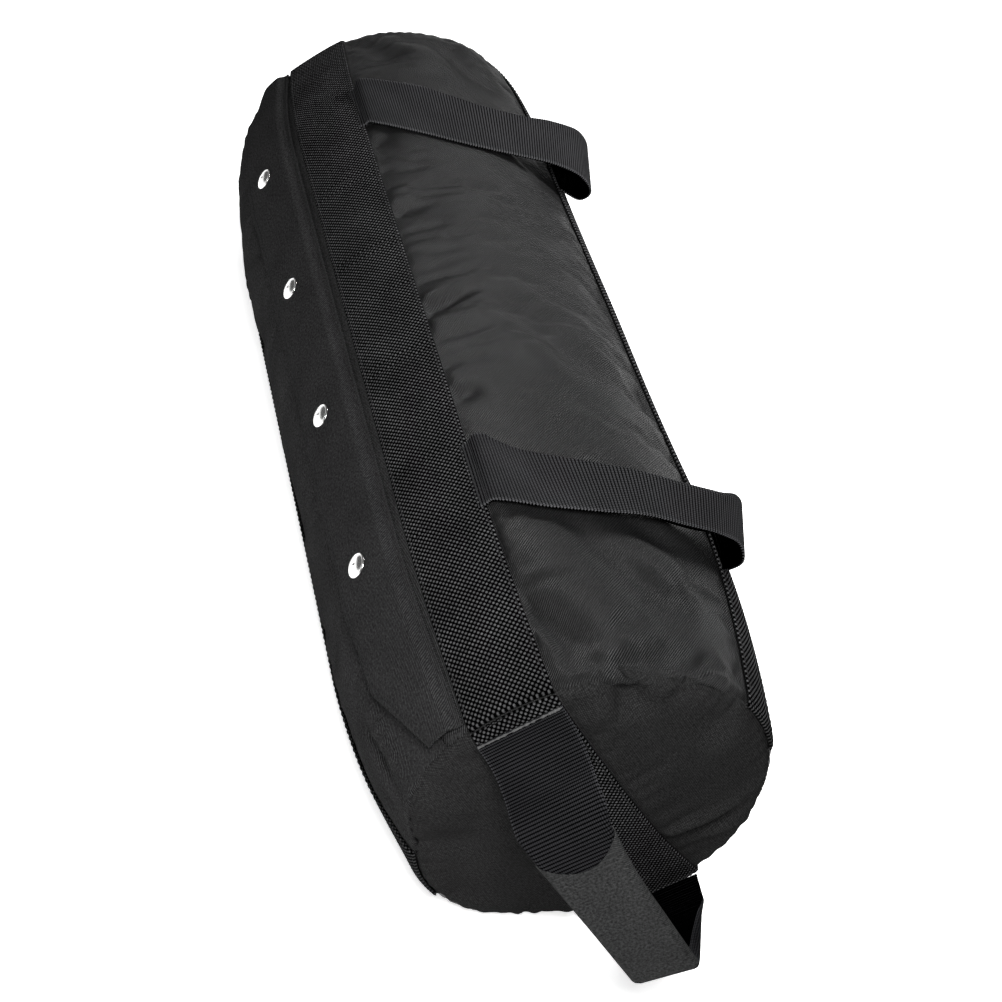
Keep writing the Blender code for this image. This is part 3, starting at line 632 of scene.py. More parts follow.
# seam=True paints shade along the seams of the body and front cloth.
BODY_CLOTH = twill("body_cloth_look", (0.0052, 0.0052, 0.0053), 0.42, 0.16, 1.0, tall=0.00035, seam=True)
FRONT_CLOTH = twill("front_cloth_look", (0.0180, 0.0180, 0.0182), 0.80, 0.0, 1.0, tall=0.00030, seam=True)
FLAP_CLOTH = twill("flap_cloth_look", (0.0165, 0.0165, 0.0167), 0.66, 0.0, 0.70, tall=0.00025)
END_CLOTH = plain_weave("end_cloth_look", (0.0165, 0.0165, 0.0165), 0.75, 0.0, 0.40, tall=0.0002)
SLEEVE_CLOTH = twill("sleeve_cloth_look", (0.0225, 0.0228, 0.0228), 0.75, 0.0, 0.40, pitch=0.0013,
                     tall=0.0002)
LINER_CLOTH = plain_weave("liner_cloth_look", (0.05, 0.05, 0.052), 0.7, 0.3, 0.2, sheen=0.05)
COARSE = pebbled("coarse_webbing_look", (0.0047, 0.0047, 0.0048))
RIBBED = ribbed("ribbed_webbing_look", (0.0021, 0.0021, 0.0022))
END_RIBBED = ribbed("end_strap_look", (0.0013, 0.0013, 0.0014))
NICKEL = metal("nickel_look", (0.74, 0.74, 0.73), 0.20)
DARK_METAL = metal("dark_metal_look", (0.16, 0.16, 0.17), 0.34)
TAPE = ribbed("zip_tape_look", (0.014, 0.014, 0.0145))
COIL = plastic("coil_look", (0.012, 0.012, 0.013), 0.35)
THREAD = thread("thread_look", (0.017, 0.017, 0.0175))
MELTED = plastic("melted_edge_look", (0.036, 0.036, 0.036), 0.7)
SAND = grains("sand_look", (0.42, 0.34, 0.22))
HOOKS = plastic("hook_loop_look", (0.02, 0.02, 0.02), 0.8)


# --- cloth simulation -------------------------------------------------------------------------------
SIM_FRAMES = 20
SIM_PRESSURE = 4.0
SIM_SLACK = 0.012
SIM_CAP = 0.0045


def filled(points, pinned):
    """How far each point of a coarse grid moves when the cloth is blown out against its seams."""
    n, m = points.shape[:2]
    obj = new_mesh("filling", points, grid_faces(n, m))
    group = obj.vertex_groups.new(name="sewn")
    group.add([int(k) for k in np.flatnonzero(pinned.ravel())], 1.0, "REPLACE")
    cloth = obj.modifiers.new("cloth", "CLOTH")
    s = cloth.settings
    s.quality = 4
    s.mass = 0.2
    s.tension_stiffness = s.compression_stiffness = 20
    s.shear_stiffness = 8
    s.bending_stiffness = 0.4
    s.vertex_group_mass = "sewn"
    s.use_pressure = True
    s.uniform_pressure_force = SIM_PRESSURE
    s.shrink_min = -SIM_SLACK
    s.effector_weights.gravity = 0
    cloth.collision_settings.use_collision = False
    cloth.point_cache.frame_start = 1
    cloth.point_cache.frame_end = SIM_FRAMES
    scene = bpy.context.scene
    for step in range(1, SIM_FRAMES + 1):
        scene.frame_set(step)
    shaped = obj.evaluated_get(bpy.context.evaluated_depsgraph_get()).data
    after = np.zeros(n * m * 3, np.float32)
    shaped.vertices.foreach_get("co", after)
    mesh = obj.data
    bpy.data.objects.remove(obj)
    bpy.data.meshes.remove(mesh)
    scene.frame_set(1)
    move = after.reshape(n, m, 3) - points
    size = np.linalg.norm(move, axis=-1, keepdims=True) + 1e-9
    return move / size * SIM_CAP * np.tanh(size / SIM_CAP)


def finer(coarse_axis, fine_axis):
    """The matrix that reads a coarse row of numbers at finer places, along a smooth curve."""
    n = len(coarse_axis)
    where = np.interp(fine_axis, coarse_axis, np.arange(n))
    k = np.clip(where.astype(int), 0, n - 2)
    t = where - k
    weights = (-0.5 * t + t**2 - 0.5 * t**3, 1 - 2.5 * t**2 + 1.5 * t**3,
               0.5 * t + 2 * t**2 - 1.5 * t**3, -0.5 * t**2 + 0.5 * t**3)
    out = np.zeros((len(fine_axis), n))
    for shift, weight in zip((-1, 0, 1, 2), weights):
        np.add.at(out, (np.arange(len(fine_axis)), np.clip(k + shift, 0, n - 1)), weight)
    return out


def filled_grid(points_at, a, b, pinned_at, fine_a, fine_b):
    """The simulated move of a piece of cloth, read at its fine grid."""
    coarse = np.meshgrid(a, b, indexing="ij")
    move = filled(points_at(*coarse), pinned_at(*coarse))
    rows, columns = finer(a, fine_a), finer(b, fine_b)
    return np.einsum("ai,ijc,bj->abc", rows, move, columns)


# --- the bag's panels -------------------------------------------------------------------------------
PANEL_STEP = 0.0020
RIM_FINE = 0.006
SIM_STEP = 0.0052


def body_panel(name, node, angles, step=PANEL_STEP, simulate=True, slot_side=0):
    """One panel of the barrel. slot_side says which of its angles is the zip's slot: past the zip's ends its
    cloth closes over the tape."""
    x_end = HALF - SEAM_GAP
    arc = math.radians(abs(angles[1] - angles[0])) * MID_RADIUS
    fine = np.arange(0, RIM_FINE, 0.0005)
    xs = np.linspace(-x_end + RIM_FINE, x_end - RIM_FINE, int(2 * x_end / step))
    xs = np.concatenate([-x_end + fine, xs, (x_end - fine)[::-1]])
    turns = np.linspace(angles[0], angles[1], max(int(arc / step), 8))
    x, angle = np.meshgrid(xs, turns, indexing="ij")
    if slot_side:
        share = (angle - angles[0]) / (angles[1] - angles[0])
        share = share if slot_side > 0 else 1 - share
        edge = angles[1] if slot_side > 0 else angles[0]
        past_zip = smooth(ZIP_HALF + 0.006, ZIP_HALF + 0.016, np.abs(x))
        angle = angle + share**6 * (ZIP_ANGLE - 0.12 * slot_side - edge) * past_zip
    height = bag_relief(x, angle)
    points = on_bag(x, angle, height)
    if simulate:
        rows = np.linspace(-x_end, x_end, int(2 * x_end / SIM_STEP))
        columns = np.linspace(angles[0], angles[1], max(int(arc / SIM_STEP), 6))

        def pinned(px, pa):
            calm = (pa < HEM_ANGLE + 3) & (pa > FLAP_ANGLE - 2)
            rim = (np.abs(px) > x_end - 0.001) | (pa <= angles[0]) | (pa >= angles[1])
            return rim | calm | (past_webbing(pa, px) < 0.001)

        move = filled_grid(lambda px, pa: on_bag(px, pa, -0.0005), rows, columns, pinned, xs, turns)
        move -= 0.0022 * smooth(0.0, 0.030, past_webbing(angle, x))[..., None] * outward(angle)
        free = smooth(0.0, 0.003, past_webbing(angle, x)) * smooth(0.0, 0.010, x_end - np.abs(x))
        points = points + move * free[..., None]
    points[..., 2] = np.maximum(points[..., 2], 0.0)
    weave = np.stack([x, np.radians(angle) * MID_RADIUS], axis=-1)
    cloth = FRONT_CLOTH if name.startswith("front") else BODY_CLOTH
    obj = sheet_mesh(name, points, weave, cloth, CLOTH)
    settle(obj, "bag", "body_cloth", node)
    return obj


def outward(angle):
    a = np.radians(angle)
    return np.stack([a * 0, np.sin(a), np.cos(a)], axis=-1)


body_panel("top_cloth", "top_panel", (-46.3, 46.3))
body_panel("rear_cloth", "rear_panel", (46.7, 133.3))
body_panel("base_cloth", "base_panel", (133.7, 226.3), step=0.004, simulate=False)
body_panel("front_lower_cloth", "front_panel_lower", (-133.3, ZIP_EDGES[1]), slot_side=1)
body_panel("front_upper_cloth", "front_panel_upper", (ZIP_EDGES[0], -46.7), simulate=False, slot_side=-1)


def end_panel(name, node, side):
    count = 150
    line = np.linspace(-1, 1, count)
    a, b = np.meshgrid(line, line, indexing="ij")
    radius = END_RADIUS - 0.0006

    def disc(p, q):
        return radius * p * np.sqrt(1 - q * q / 2), radius * q * np.sqrt(1 - p * p / 2)

    def relief(u, w):
        rho = np.hypot(u, w)
        rim = np.exp(-(((END_RADIUS - rho) / 0.006) ** 2))
        turn = np.arctan2(w, u)
        folds = END_FOLDS if side > 0 else [(h * 0.8, wide, [(-p, -q) for p, q in line_])
                                            for h, wide, line_ in END_FOLDS[3:]]
        clear = smooth(WEBBING_HALF - 0.001, WEBBING_HALF + 0.004, np.abs(w))
        height = folded(u, w, folds, 1.0) * clear
        height += clear * 0.0010 * noise(u / 0.032 + 9, w / 0.032, 11)
        pucker = np.sin(turn * 58 + 2 * noise(turn * 4, turn * 0, 12))
        height += 0.0006 * np.exp(-(END_RADIUS - rho) / 0.012) * pucker * clear
        crease = np.exp(-(((END_RADIUS - rho) / SEAM_CREASE) ** 2))
        return dome(u, w) - 0.0016 * rim - 0.0022 * crease + height

    u, w = disc(a, b)
    points = on_end(side, u, w, relief(u, w))
    rows = np.linspace(-1, 1, 40)

    def pinned(p, q):
        pu, pw = disc(p, q)
        return (np.hypot(pu, pw) > END_RADIUS - 0.003) | (np.abs(pw) < WEBBING_HALF)

    def start(p, q):
        pu, pw = disc(p, q)
        return on_end(side, pu, pw, dome(pu, pw) - 0.001)

    move = filled_grid(start, rows, rows, pinned, line, line)
    if side < 0:
        move[..., 0] = -np.abs(move[..., 0])
    inside = END_RADIUS - np.hypot(u, w)
    free = smooth(WEBBING_HALF, WEBBING_HALF + 0.02, np.abs(w)) * smooth(0, 0.02, inside)
    points = points + move * smooth(WEBBING_HALF, WEBBING_HALF + 0.004, np.abs(w))[..., None]
    points[..., 0] -= side * 0.0015 * free
    weave = np.stack([u, w], axis=-1)
    obj = sheet_mesh(name, points, weave, END_CLOTH, CLOTH, flip=side < 0)
    settle(obj, "bag", "end_cloth", node)
    return obj


end_panel("near_end_cloth", "end_panel_near", 1)
end_panel("far_end_cloth", "end_panel_far", -1)


# --- coarse webbing ---------------------------------------------------------------------------------
PEBBLE_HEIGHT = 0.00035


def pebbles(u, v):
    """Height of the woven threads: staggered round lobes."""
    a = (np.cos(2 * np.pi * u / PEBBLE) + 1) * (np.cos(2 * np.pi * v / PEBBLE) + 1) / 4
    b = (1 - np.cos(2 * np.pi * u / PEBBLE)) * (1 - np.cos(2 * np.pi * v / PEBBLE)) / 4
    return PEBBLE_HEIGHT * np.maximum(a, b)


def cross_lines(u, lines):
    """Shallow grooves where stitching through the webbing pulls it in."""
    return sum(-0.0004 * np.exp(-(((u - c) / 0.0011) ** 2)) for c in lines)


def webbing_loft(name, node, place, length_line, across_line, run=1.0, flip=False):
    """Webbing along a line, pebbled outside: place(u, w, off) gives a point, and u times run is metres."""
    u, w = np.meshgrid(length_line, across_line, indexing="ij")
    edge = smooth(0, 0.0012, WEBBING_HALF - np.abs(w))
    outer = WEBBING_LIFT + WEBBING * (0.55 + 0.45 * edge) - PEBBLE_HEIGHT / 2 + pebbles(u * run, w) * edge
    outer = outer + cross_lines(u, SEWN_LINES.get(node, ()))
    under = across_line[::-8]
    ub, wb = np.meshgrid(length_line, under, indexing="ij")
    rings = np.concatenate([place(u, w, outer), place(ub, wb, np.full(ub.shape, WEBBING_LIFT * 0.6))], axis=1)
    weave = np.concatenate([np.stack([u * run, w], axis=-1), np.stack([ub * run, wb], axis=-1)], axis=1)
    obj = loft_mesh(name, rings, weave, COARSE, flip=flip)
    settle(obj, "bag", "coarse_webbing", node)
    return obj


SEWN_LINES = {
    "webbing_top_front": (-0.128, -0.121, -0.047, -0.041, 0.001, 0.062, 0.068, 0.154, 0.206, 0.300),
    "webbing_top_rear": (-0.146, -0.200, 0.060, -0.040, 0.188, 0.234),
}


def body_webbing(name, node, angle, step):
    x_end = HALF - SEAM_GAP
    xs = np.arange(-x_end, x_end + step / 2, step)
    ws = np.linspace(-WEBBING_HALF, WEBBING_HALF, int(2 * WEBBING_HALF / step) + 1)

    def place(x, w, off):
        dip = -0.0016 * np.exp(-(((HALF - np.abs(x)) / 0.004) ** 2))
        return on_bag(x, angle + np.degrees(w / barrel_radius(x)), off + dip)

    return webbing_loft(name, node, place, xs, ws)


body_webbing("front_top_webbing", "webbing_top_front", -46.5, 0.0005)
body_webbing("rear_top_webbing", "webbing_top_rear", 46.5, 0.0005)
body_webbing("front_base_webbing", "webbing_base_front", -133.5, 0.0010)
body_webbing("rear_base_webbing", "webbing_base_rear", 133.5, 0.0010)


def end_strip(name, node, side):
    step = 0.0005
    reach = END_RADIUS - 0.0008
    us = np.arange(-1, 1 + 1e-9, step / reach)
    ws = np.linspace(-WEBBING_HALF, WEBBING_HALF, int(2 * WEBBING_HALF / step) + 1)

    def place(t, w, off):
        u = t * np.sqrt(reach**2 - w**2)
        rim = np.exp(-(((END_RADIUS - np.hypot(u, w)) / 0.004) ** 2))
        return on_end(side, u, w, dome(u, w) + off - 0.0014 * rim)

    return webbing_loft(name, node, place, us, ws, run=reach, flip=side < 0)


end_strip("near_end_webbing", "end_strip_near", 1)
end_strip("far_end_webbing", "end_strip_far", -1)


# --- straps -----------------------------------------------------------------------------------------
STATION = 0.00036
RIB_HEIGHT = 0.00022
BEND = 0.0022
GRAB_FOLD = math.radians(163)
LOOP_FOLD = math.radians(158)


def even_stations(first, second, step):
    """Two rails read at the same even steps of the line half way between them."""
    middle = (first + second) / 2
    arc = np.concatenate([[0], np.cumsum(np.linalg.norm(np.diff(middle, axis=0), axis=1))])
    where = np.arange(0, arc[-1], step)
    read = [np.stack([np.interp(where, arc, rail[:, c]) for c in range(3)], axis=-1)
            for rail in (first, second)]
    return read[0], read[1], where


def strap_frame(first, second, sign=1):
    """Along a strap: the way from its second rail to its first, their gap, and its outward normal."""
    across = first - second
    width = np.linalg.norm(across, axis=1)
    across /= width[:, None]
    travel = np.gradient((first + second) / 2, axis=0)
    travel /= np.linalg.norm(travel, axis=1)[:, None]
    normal = np.cross(travel, across) * sign
    normal /= np.linalg.norm(normal, axis=1)[:, None]
    return across, width, normal


def turning_section(total, flat, fold, count):
    """A strap's cross-section from its open edge: flat, then bent under by an angle, then straight."""
    q = np.linspace(0, total, count)
    step = q[1] - q[0]
    bend_length = np.maximum(BEND * fold, 1e-5)
    turn = np.clip((q[None, :] - flat[:, None]) / bend_length[:, None], 0, 1) * fold[:, None]
    start, middle = np.zeros((len(flat), 1)), (turn[:, 1:] + turn[:, :-1]) / 2
    a = np.concatenate([start, np.cumsum(np.cos(middle) * step, axis=1)], axis=1)
    b = np.concatenate([start, -np.cumsum(np.sin(middle) * step, axis=1)], axis=1)
    return a, b, q, turn


def grab_handle(name, nodes, fold_rail, open_rail):
    """One strap from front to rear, doubled under along its fold rail."""
    fold_line, open_line = (smooth_line(r, 24) for r in (fold_rail, open_rail))
    fold_line, open_line = (on_bag(r[:, 0], r[:, 1], r[:, 2] / 1000 + STRAP / 2 + 0.0004)
                            for r in (fold_line, open_line))
    f, o, arc = even_stations(fold_line, open_line, STATION)
    across, width, normal = strap_frame(f, o)
    fold = GRAB_FOLD * smooth(0.0, 0.0060, 0.0485 - width)
    flat = np.minimum(width, 0.0496) - BEND * smooth(0, 0.006, 0.0485 - width)
    a, b, q, turn = turning_section(STRAP_WIDTH, flat, fold, 56)
    lean_a, lean_b = np.sin(turn), np.cos(turn)
    rib = RIB_HEIGHT * np.cos(2 * np.pi * arc / RIB)[:, None] * np.ones(len(q))[None, :]
    a, b = a + lean_a * rib, b + lean_b * rib
    points = o[:, None] + a[..., None] * across[:, None] + b[..., None] * normal[:, None]
    weave = np.stack(np.meshgrid(arc, q, indexing="ij"), axis=-1)
    obj = sheet_mesh(name, points, weave, RIBBED, STRAP, offset=0.0)
    low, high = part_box(nodes[1])
    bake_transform(obj)
    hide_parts(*nodes)
    return obj


NEAR_FOLD = [(0.158, -37, 0), (0.158, -34.5, 1.5), (0.159, -33, 7), (0.165, -30.5, 10), (0.184, -22, 11),
             (0.199, -10, 14), (0.208, 1, 18), (0.213, 13, 21), (0.211, 24, 25), (0.203, 31.5, 27),
             (0.199, 36.5, 23), (0.193, 38.5, 11), (0.190, 36, 2)]
NEAR_OPEN = [(0.207, -37, 0), (0.207, -34.5, 1.5), (0.208, -33, 4), (0.212, -30, 5), (0.223, -20, 5),
             (0.231, -8, 7), (0.233, 3, 9), (0.234, 15, 10.5), (0.233, 26, 15), (0.232, 33, 17),
             (0.235, 37.5, 13), (0.236, 37.5, 6), (0.236, 36, 1)]
FAR_FOLD = [(-0.228, -37, 0), (-0.228, -34.5, 1.5), (-0.227, -33, 8), (-0.222, -30.5, 11), (-0.205, -20, 10),
            (-0.188, -8, 11), (-0.178, 3, 13), (-0.174, 14, 18), (-0.177, 24, 26), (-0.182, 33, 32),
            (-0.185, 40, 29), (-0.187, 42, 15), (-0.190, 37, 2)]
FAR_OPEN = [(-0.179, -37, 0), (-0.179, -34.5, 1), (-0.178, -33, 3), (-0.172, -30, 3), (-0.157, -20, 1.5),
            (-0.143, -8, 1.5), (-0.137, 3, 3), (-0.136, 14, 7), (-0.138, 25, 14), (-0.139, 34, 20),
            (-0.141, 41, 19), (-0.145, 42.5, 9), (-0.150, 37, 1)]
grab_handle("near_grab_strap", ("grab_near_front_tab", "grab_near_grip", "grab_near_rear_tab"),
            NEAR_FOLD, NEAR_OPEN)
grab_handle("far_grab_strap", ("grab_far_front_tab", "grab_far_grip", "grab_far_rear_tab"),
            FAR_FOLD, FAR_OPEN)

LOOP_RAIL = {
    "near": [(0.0975, 0.0245, 4.5), (0.0875, 0.025, 7.0), (0.078, 0.025, 14), (0.074, 0.025, 28),
             (0.0735, 0.024, 42), (0.066, 0.0225, 57), (0.050, 0.019, 68), (0.025, 0.0165, 77),
             (-0.005, 0.0155, 83), (-0.028, 0.0150, 87), (-0.040, 0.0150, 88), (-0.050, 0.0155, 82),
             (-0.070, 0.018, 58), (-0.090, 0.022, 28), (-0.0985, 0.0245, 5)],
    "far": [(0.0975, 0.0245, 4.5), (0.0875, 0.025, 7.0), (0.078, 0.025, 14), (0.074, 0.024, 26),
            (0.070, 0.022, 38), (0.060, 0.019, 51), (0.040, 0.018, 61), (0.015, 0.018, 67),
            (-0.012, 0.018, 73), (-0.034, 0.018, 77), (-0.050, 0.018, 77), (-0.064, 0.018, 70),
            (-0.080, 0.019, 50), (-0.092, 0.022, 26), (-0.0985, 0.0245, 5)],
}
LOOP_OTHER = {
    "near": [-0.0245, -0.025, -0.025, -0.025, -0.024, -0.0215, -0.020, -0.019, -0.019, -0.019, -0.019,
             -0.019, -0.020, -0.022, -0.0245],
    "far": [-0.0245, -0.025, -0.025, -0.024, -0.022, -0.019, -0.018, -0.018, -0.018, -0.018, -0.018,
            -0.018, -0.019, -0.022, -0.0245],
}
LOOP_OTHER_PATH = [(0.0975, 4.5), (0.0875, 7.0), (0.078, 14), (0.074, 28), (0.0735, 42), (0.066, 58),
                   (0.050, 69), (0.025, 77), (-0.005, 84), (-0.030, 90), (-0.044, 92), (-0.055, 84),
                   (-0.074, 58), (-0.092, 28), (-0.0985, 5)]


def end_loop(key, side):
    rail = LOOP_RAIL[key]
    pairs = LOOP_OTHER_PATH if key == "near" else [(u, s) for u, w, s in rail]
    other = [(u, w, s) for (u, s), w in zip(pairs, LOOP_OTHER[key])]
    plus, minus = (smooth_line(r, 24) for r in (rail, other))
    plus, minus = (on_end(side, r[:, 0], r[:, 1], r[:, 2] / 1000) for r in (plus, minus))
    p, m, arc = even_stations(plus, minus, STATION)
    across, width, normal = strap_frame(p, m, -side)
    middle = (p + m) / 2

    def section(extra, count, total):
        """Half sections from the middle to each edge, bent under, extra metres further out."""
        tuck = smooth(0.0, 0.006, 0.0490 - width)
        fold = LOOP_FOLD * tuck
        flat = width / 2 - BEND * tuck
        a, b, q, turn = turning_section(total / 2, flat, fold, count)
        a, b = a + np.sin(turn) * extra, b + np.cos(turn) * extra
        a = np.concatenate([-a[:, :0:-1], a], axis=1)
        b = np.concatenate([b[:, :0:-1], b], axis=1)
        lean = np.concatenate([-turn[:, :0:-1], turn], axis=1)
        q = np.concatenate([-q[:0:-1], q])
        return a, b, q, lean

    a, b, q, lean = section(0.0, 30, STRAP_WIDTH)
    rib = RIB_HEIGHT * np.cos(2 * np.pi * arc / RIB)[:, None]
    a, b = a + np.sin(lean) * rib, b + np.cos(lean) * rib
    points = middle[:, None] + a[..., None] * across[:, None] + b[..., None] * normal[:, None]
    weave = np.stack(np.meshgrid(arc, q + STRAP_WIDTH / 2, indexing="ij"), axis=-1)
    strap = sheet_mesh(f"{key}_end_strap", points, weave, END_RIBBED, STRAP, offset=0.0, flip=side > 0)
    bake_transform(strap)
    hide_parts(f"end_{key}_loop", f"end_{key}_upper_tab", f"end_{key}_lower_tab")

    bead = p[0] + np.linspace(0, 1, 90)[:, None] * (m[0] - p[0]) + normal[0] * STRAP * 0.55
    ragged = 0.00060 + 0.00040 * noise(np.arange(90) / 2.0, np.zeros(90), 61)
    bead = loft_mesh(f"{key}_melted_edge", tube_points(bead, ragged, 8), None, MELTED)
    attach(bead, "bag")

    a, b, q, lean = section(STRAP / 2 + 0.0006, 26, STRAP_WIDTH + 0.004)
    begin = int(np.argmax((middle - middle[0]) @ (-end_frame(side)[1]) > 0.034))
    tip = int(np.argmax(np.abs(middle[:, 0])))
    keep = np.arange(begin, tip + 6)
    bow = 0.016 * (1 - np.clip(np.abs(q) / (STRAP_WIDTH / 2), 0, 1) ** 2)
    where = arc[keep][:, None] + bow[None, :] * (1 - (np.arange(len(keep)) / (len(keep) - 1))[:, None])

    def read(values):
        """A value kept per station, read at each point's own place along the strap."""
        return np.stack([np.interp(where, arc, values[:, c]) for c in range(values.shape[1])], axis=-1)

    cols = np.arange(len(q))
    a_at = np.stack([np.interp(where[:, c], arc, a[:, c]) for c in cols], axis=1)
    b_at = np.stack([np.interp(where[:, c], arc, b[:, c]) for c in cols], axis=1)
    points = read(middle) + a_at[..., None] * read(across) + b_at[..., None] * read(normal)
    weave = np.stack([where, np.broadcast_to(q, where.shape)], axis=-1)
    sleeve = sheet_mesh(f"{key}_end_sleeve", points, weave, SLEEVE_CLOTH, 0.0007, offset=0.0, flip=side > 0)
    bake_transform(sleeve)


end_loop("near", 1)
end_loop("far", -1)


# --- flap -------------------------------------------------------------------------------------------
def flap_edge(x):
    t = np.clip((np.abs(x) - FLAP_TAPER[0]) / (FLAP_TAPER[1] - FLAP_TAPER[0]), 0, 1)
    return FLAP_ANGLE + (FLAP_END_ANGLE - FLAP_ANGLE) * t


def flap_lift(x, angle):
    """How far the flap's outer face stands off the bag."""
    rise = smooth(0, 3.4, HEM_ANGLE - 1.2 - angle)
    lift = 0.0016 + (FLAP_LIFT + CLOTH - 0.0016) * rise
    t = np.radians(angle) * MID_RADIUS
    near_edge = smooth(0, 5.0, angle - flap_edge(x))
    snap = np.min([np.hypot(x - s, t - math.radians(SNAP_ANGLE) * MID_RADIUS) for s in SNAP_SPACES], axis=0)
    calm = smooth(0.009, 0.020, snap) * smooth(9.0, 13.0, HEM_ANGLE - angle)
    wave = 0.0008 * noise(x / 0.030, t / 0.020, 31) + 0.0005 * noise(x / 0.011, t / 0.012, 32)
    wave += 0.0010 * noise(x / 0.024, t * 0, 33) * (1 - near_edge) * calm
    lift += calm * rise * wave - 0.0009 * (1 - near_edge) * calm
    lift += 0.0004 * np.sin(2 * np.pi * x / 0.009) * (1 - rise) * noise(x / 0.03, t * 0, 34)
    return lift


def make_flap():
    xs = np.linspace(-FLAP_TAPER[1], FLAP_TAPER[1], 420)
    share = np.linspace(0, 1, 44)
    x, t = np.meshgrid(xs, share, indexing="ij")
    angle = HEM_ANGLE + (flap_edge(x) - HEM_ANGLE) * t
    points = on_bag(x, angle, flap_lift(x, angle))
    weave = np.stack([x, np.radians(angle) * MID_RADIUS], axis=-1)
    obj = sheet_mesh("flap_cloth", points, weave, FLAP_CLOTH, CLOTH, flip=True)
    depth = np.radians(HEM_ANGLE - flap_edge(xs)) * (barrel_radius(xs) + FLAP_LIFT)
    start, end = (Vector(on_bag(0.0, a, 0.001)) for a in (HEM_ANGLE - 1.6, HINGE_ANGLE - 1.4))
    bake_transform(obj)
    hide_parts("flap", "flap_hem")
    return obj


make_flap()


# --- snaps ------------------------------------------------------------------------------------------
def snaps():
    spots = [np.array(on_bag(s, SNAP_ANGLE, 0.0)) for s in SNAP_SPACES]
    axes = [outward(SNAP_ANGLE)] * 4
    top = FLAP_LIFT + CLOTH
    cap = [(0.0058, top - 0.0002), (0.0073, top + 0.0001), (0.0076, top + 0.0005), (0.0075, top + 0.0009),
           (0.0071, top + 0.0012), (0.0066, top + 0.00125), (0.0061, top + 0.0014), (0.0050, top + 0.0021),
           (0.0036, top + 0.0026), (0.0018, top + 0.0029), (0.0004, top + 0.0030)]
    under = FLAP_LIFT
    socket = [(0.0030, under), (0.0054, under - 0.0001), (0.0055, under - 0.0005), (0.0052, under - 0.0008),
              (0.0030, under - 0.0008), (0.0027, under - 0.0011), (0.0022, under - 0.0010),
              (0.0020, under - 0.0003)]
    stud = [(0.0020, 0.0001), (0.0049, 0.0002), (0.0050, 0.0005), (0.0047, 0.0008), (0.0024, 0.0009),
            (0.0021, 0.0013), (0.0023, 0.0019), (0.0019, 0.0023), (0.0006, 0.0024)]
    rivet = [(0.0010, -CLOTH - 0.0003), (0.0030, -CLOTH - 0.0004), (0.0033, -CLOTH - 0.0008),
             (0.0030, -CLOTH - 0.0012), (0.0006, -CLOTH - 0.0015)]
    for k in range(4):
        for name, profile, body, mat, slot_name in (
            ("cap", cap, "flap", NICKEL, "nickel"),
            ("socket", socket, "flap", DARK_METAL, "dark_metal"),
            ("stud", stud, "bag", DARK_METAL, "dark_metal"),
            ("rivet", rivet, "bag", DARK_METAL, "dark_metal"),
        ):
            obj = turned(f"{name}_{k + 1}", profile, [spots[k]], [axes[k]], mat)
            settle(obj, body, slot_name, f"snap_{name}_{k + 1}")


snaps()


# --- zip --------------------------------------------------------------------------------------------
TOOTH_PITCH = 0.0015
TAPE_HALF = 0.300


def zip_parts():
    for key, node, angle, sign in (("upper", "zip_coil_upper", -68.15, 1),
                                   ("lower", "zip_coil_lower", -69.85, -1)):
        turns = int(2 * ZIP_HALF / TOOTH_PITCH)
        s = np.linspace(0, turns, turns * 10 + 1)
        x = -ZIP_HALF + s * TOOTH_PITCH + (TOOTH_PITCH / 2 if sign > 0 else 0)
        x = np.clip(x, -ZIP_HALF, ZIP_HALF)
        spread = 0.45 * np.cos(2 * np.pi * s)
        depth = -0.0008 + 0.0007 * np.sin(2 * np.pi * s)
        path = on_bag(x, angle + spread, depth)
        rings = tube_points(path, 0.00032, 6)
        obj = loft_mesh(f"coil_{key}", rings, None, COIL)
        settle(obj, "bag", "coil_plastic", node)
    for key, node, span in (("upper", "zip_tape_upper", (-62.0, -68.0)),
                            ("lower", "zip_tape_lower", (-75.5, -70.0))):
        xs = np.linspace(-TAPE_HALF, TAPE_HALF, 300)
        turns = np.linspace(span[1], span[0], 16)
        x, angle = np.meshgrid(xs, np.sort(turns), indexing="ij")
        points = on_bag(x, angle, -CLOTH - 0.0004 + 0.0001 * noise(x / 0.01, angle, 41))
        weave = np.stack([np.radians(angle) * MID_RADIUS + 0.2, x + 1.0], axis=-1)
        obj = sheet_mesh(f"tape_{key}", points, weave, TAPE, 0.0005)
        settle(obj, "bag", "zip_tape", node)
    for node in ("zip_slider", "zip_pull", "zip_stop_near", "zip_stop_far"):
        obj = NODES[node]
        obj.data.materials.clear()
        obj.data.materials.append(DARK_METAL)
        bevel = obj.modifiers.new("edges", "BEVEL")
        bevel.width = 0.0003
        bevel.segments = 2
        bevel.limit_method = "ANGLE"


zip_parts()


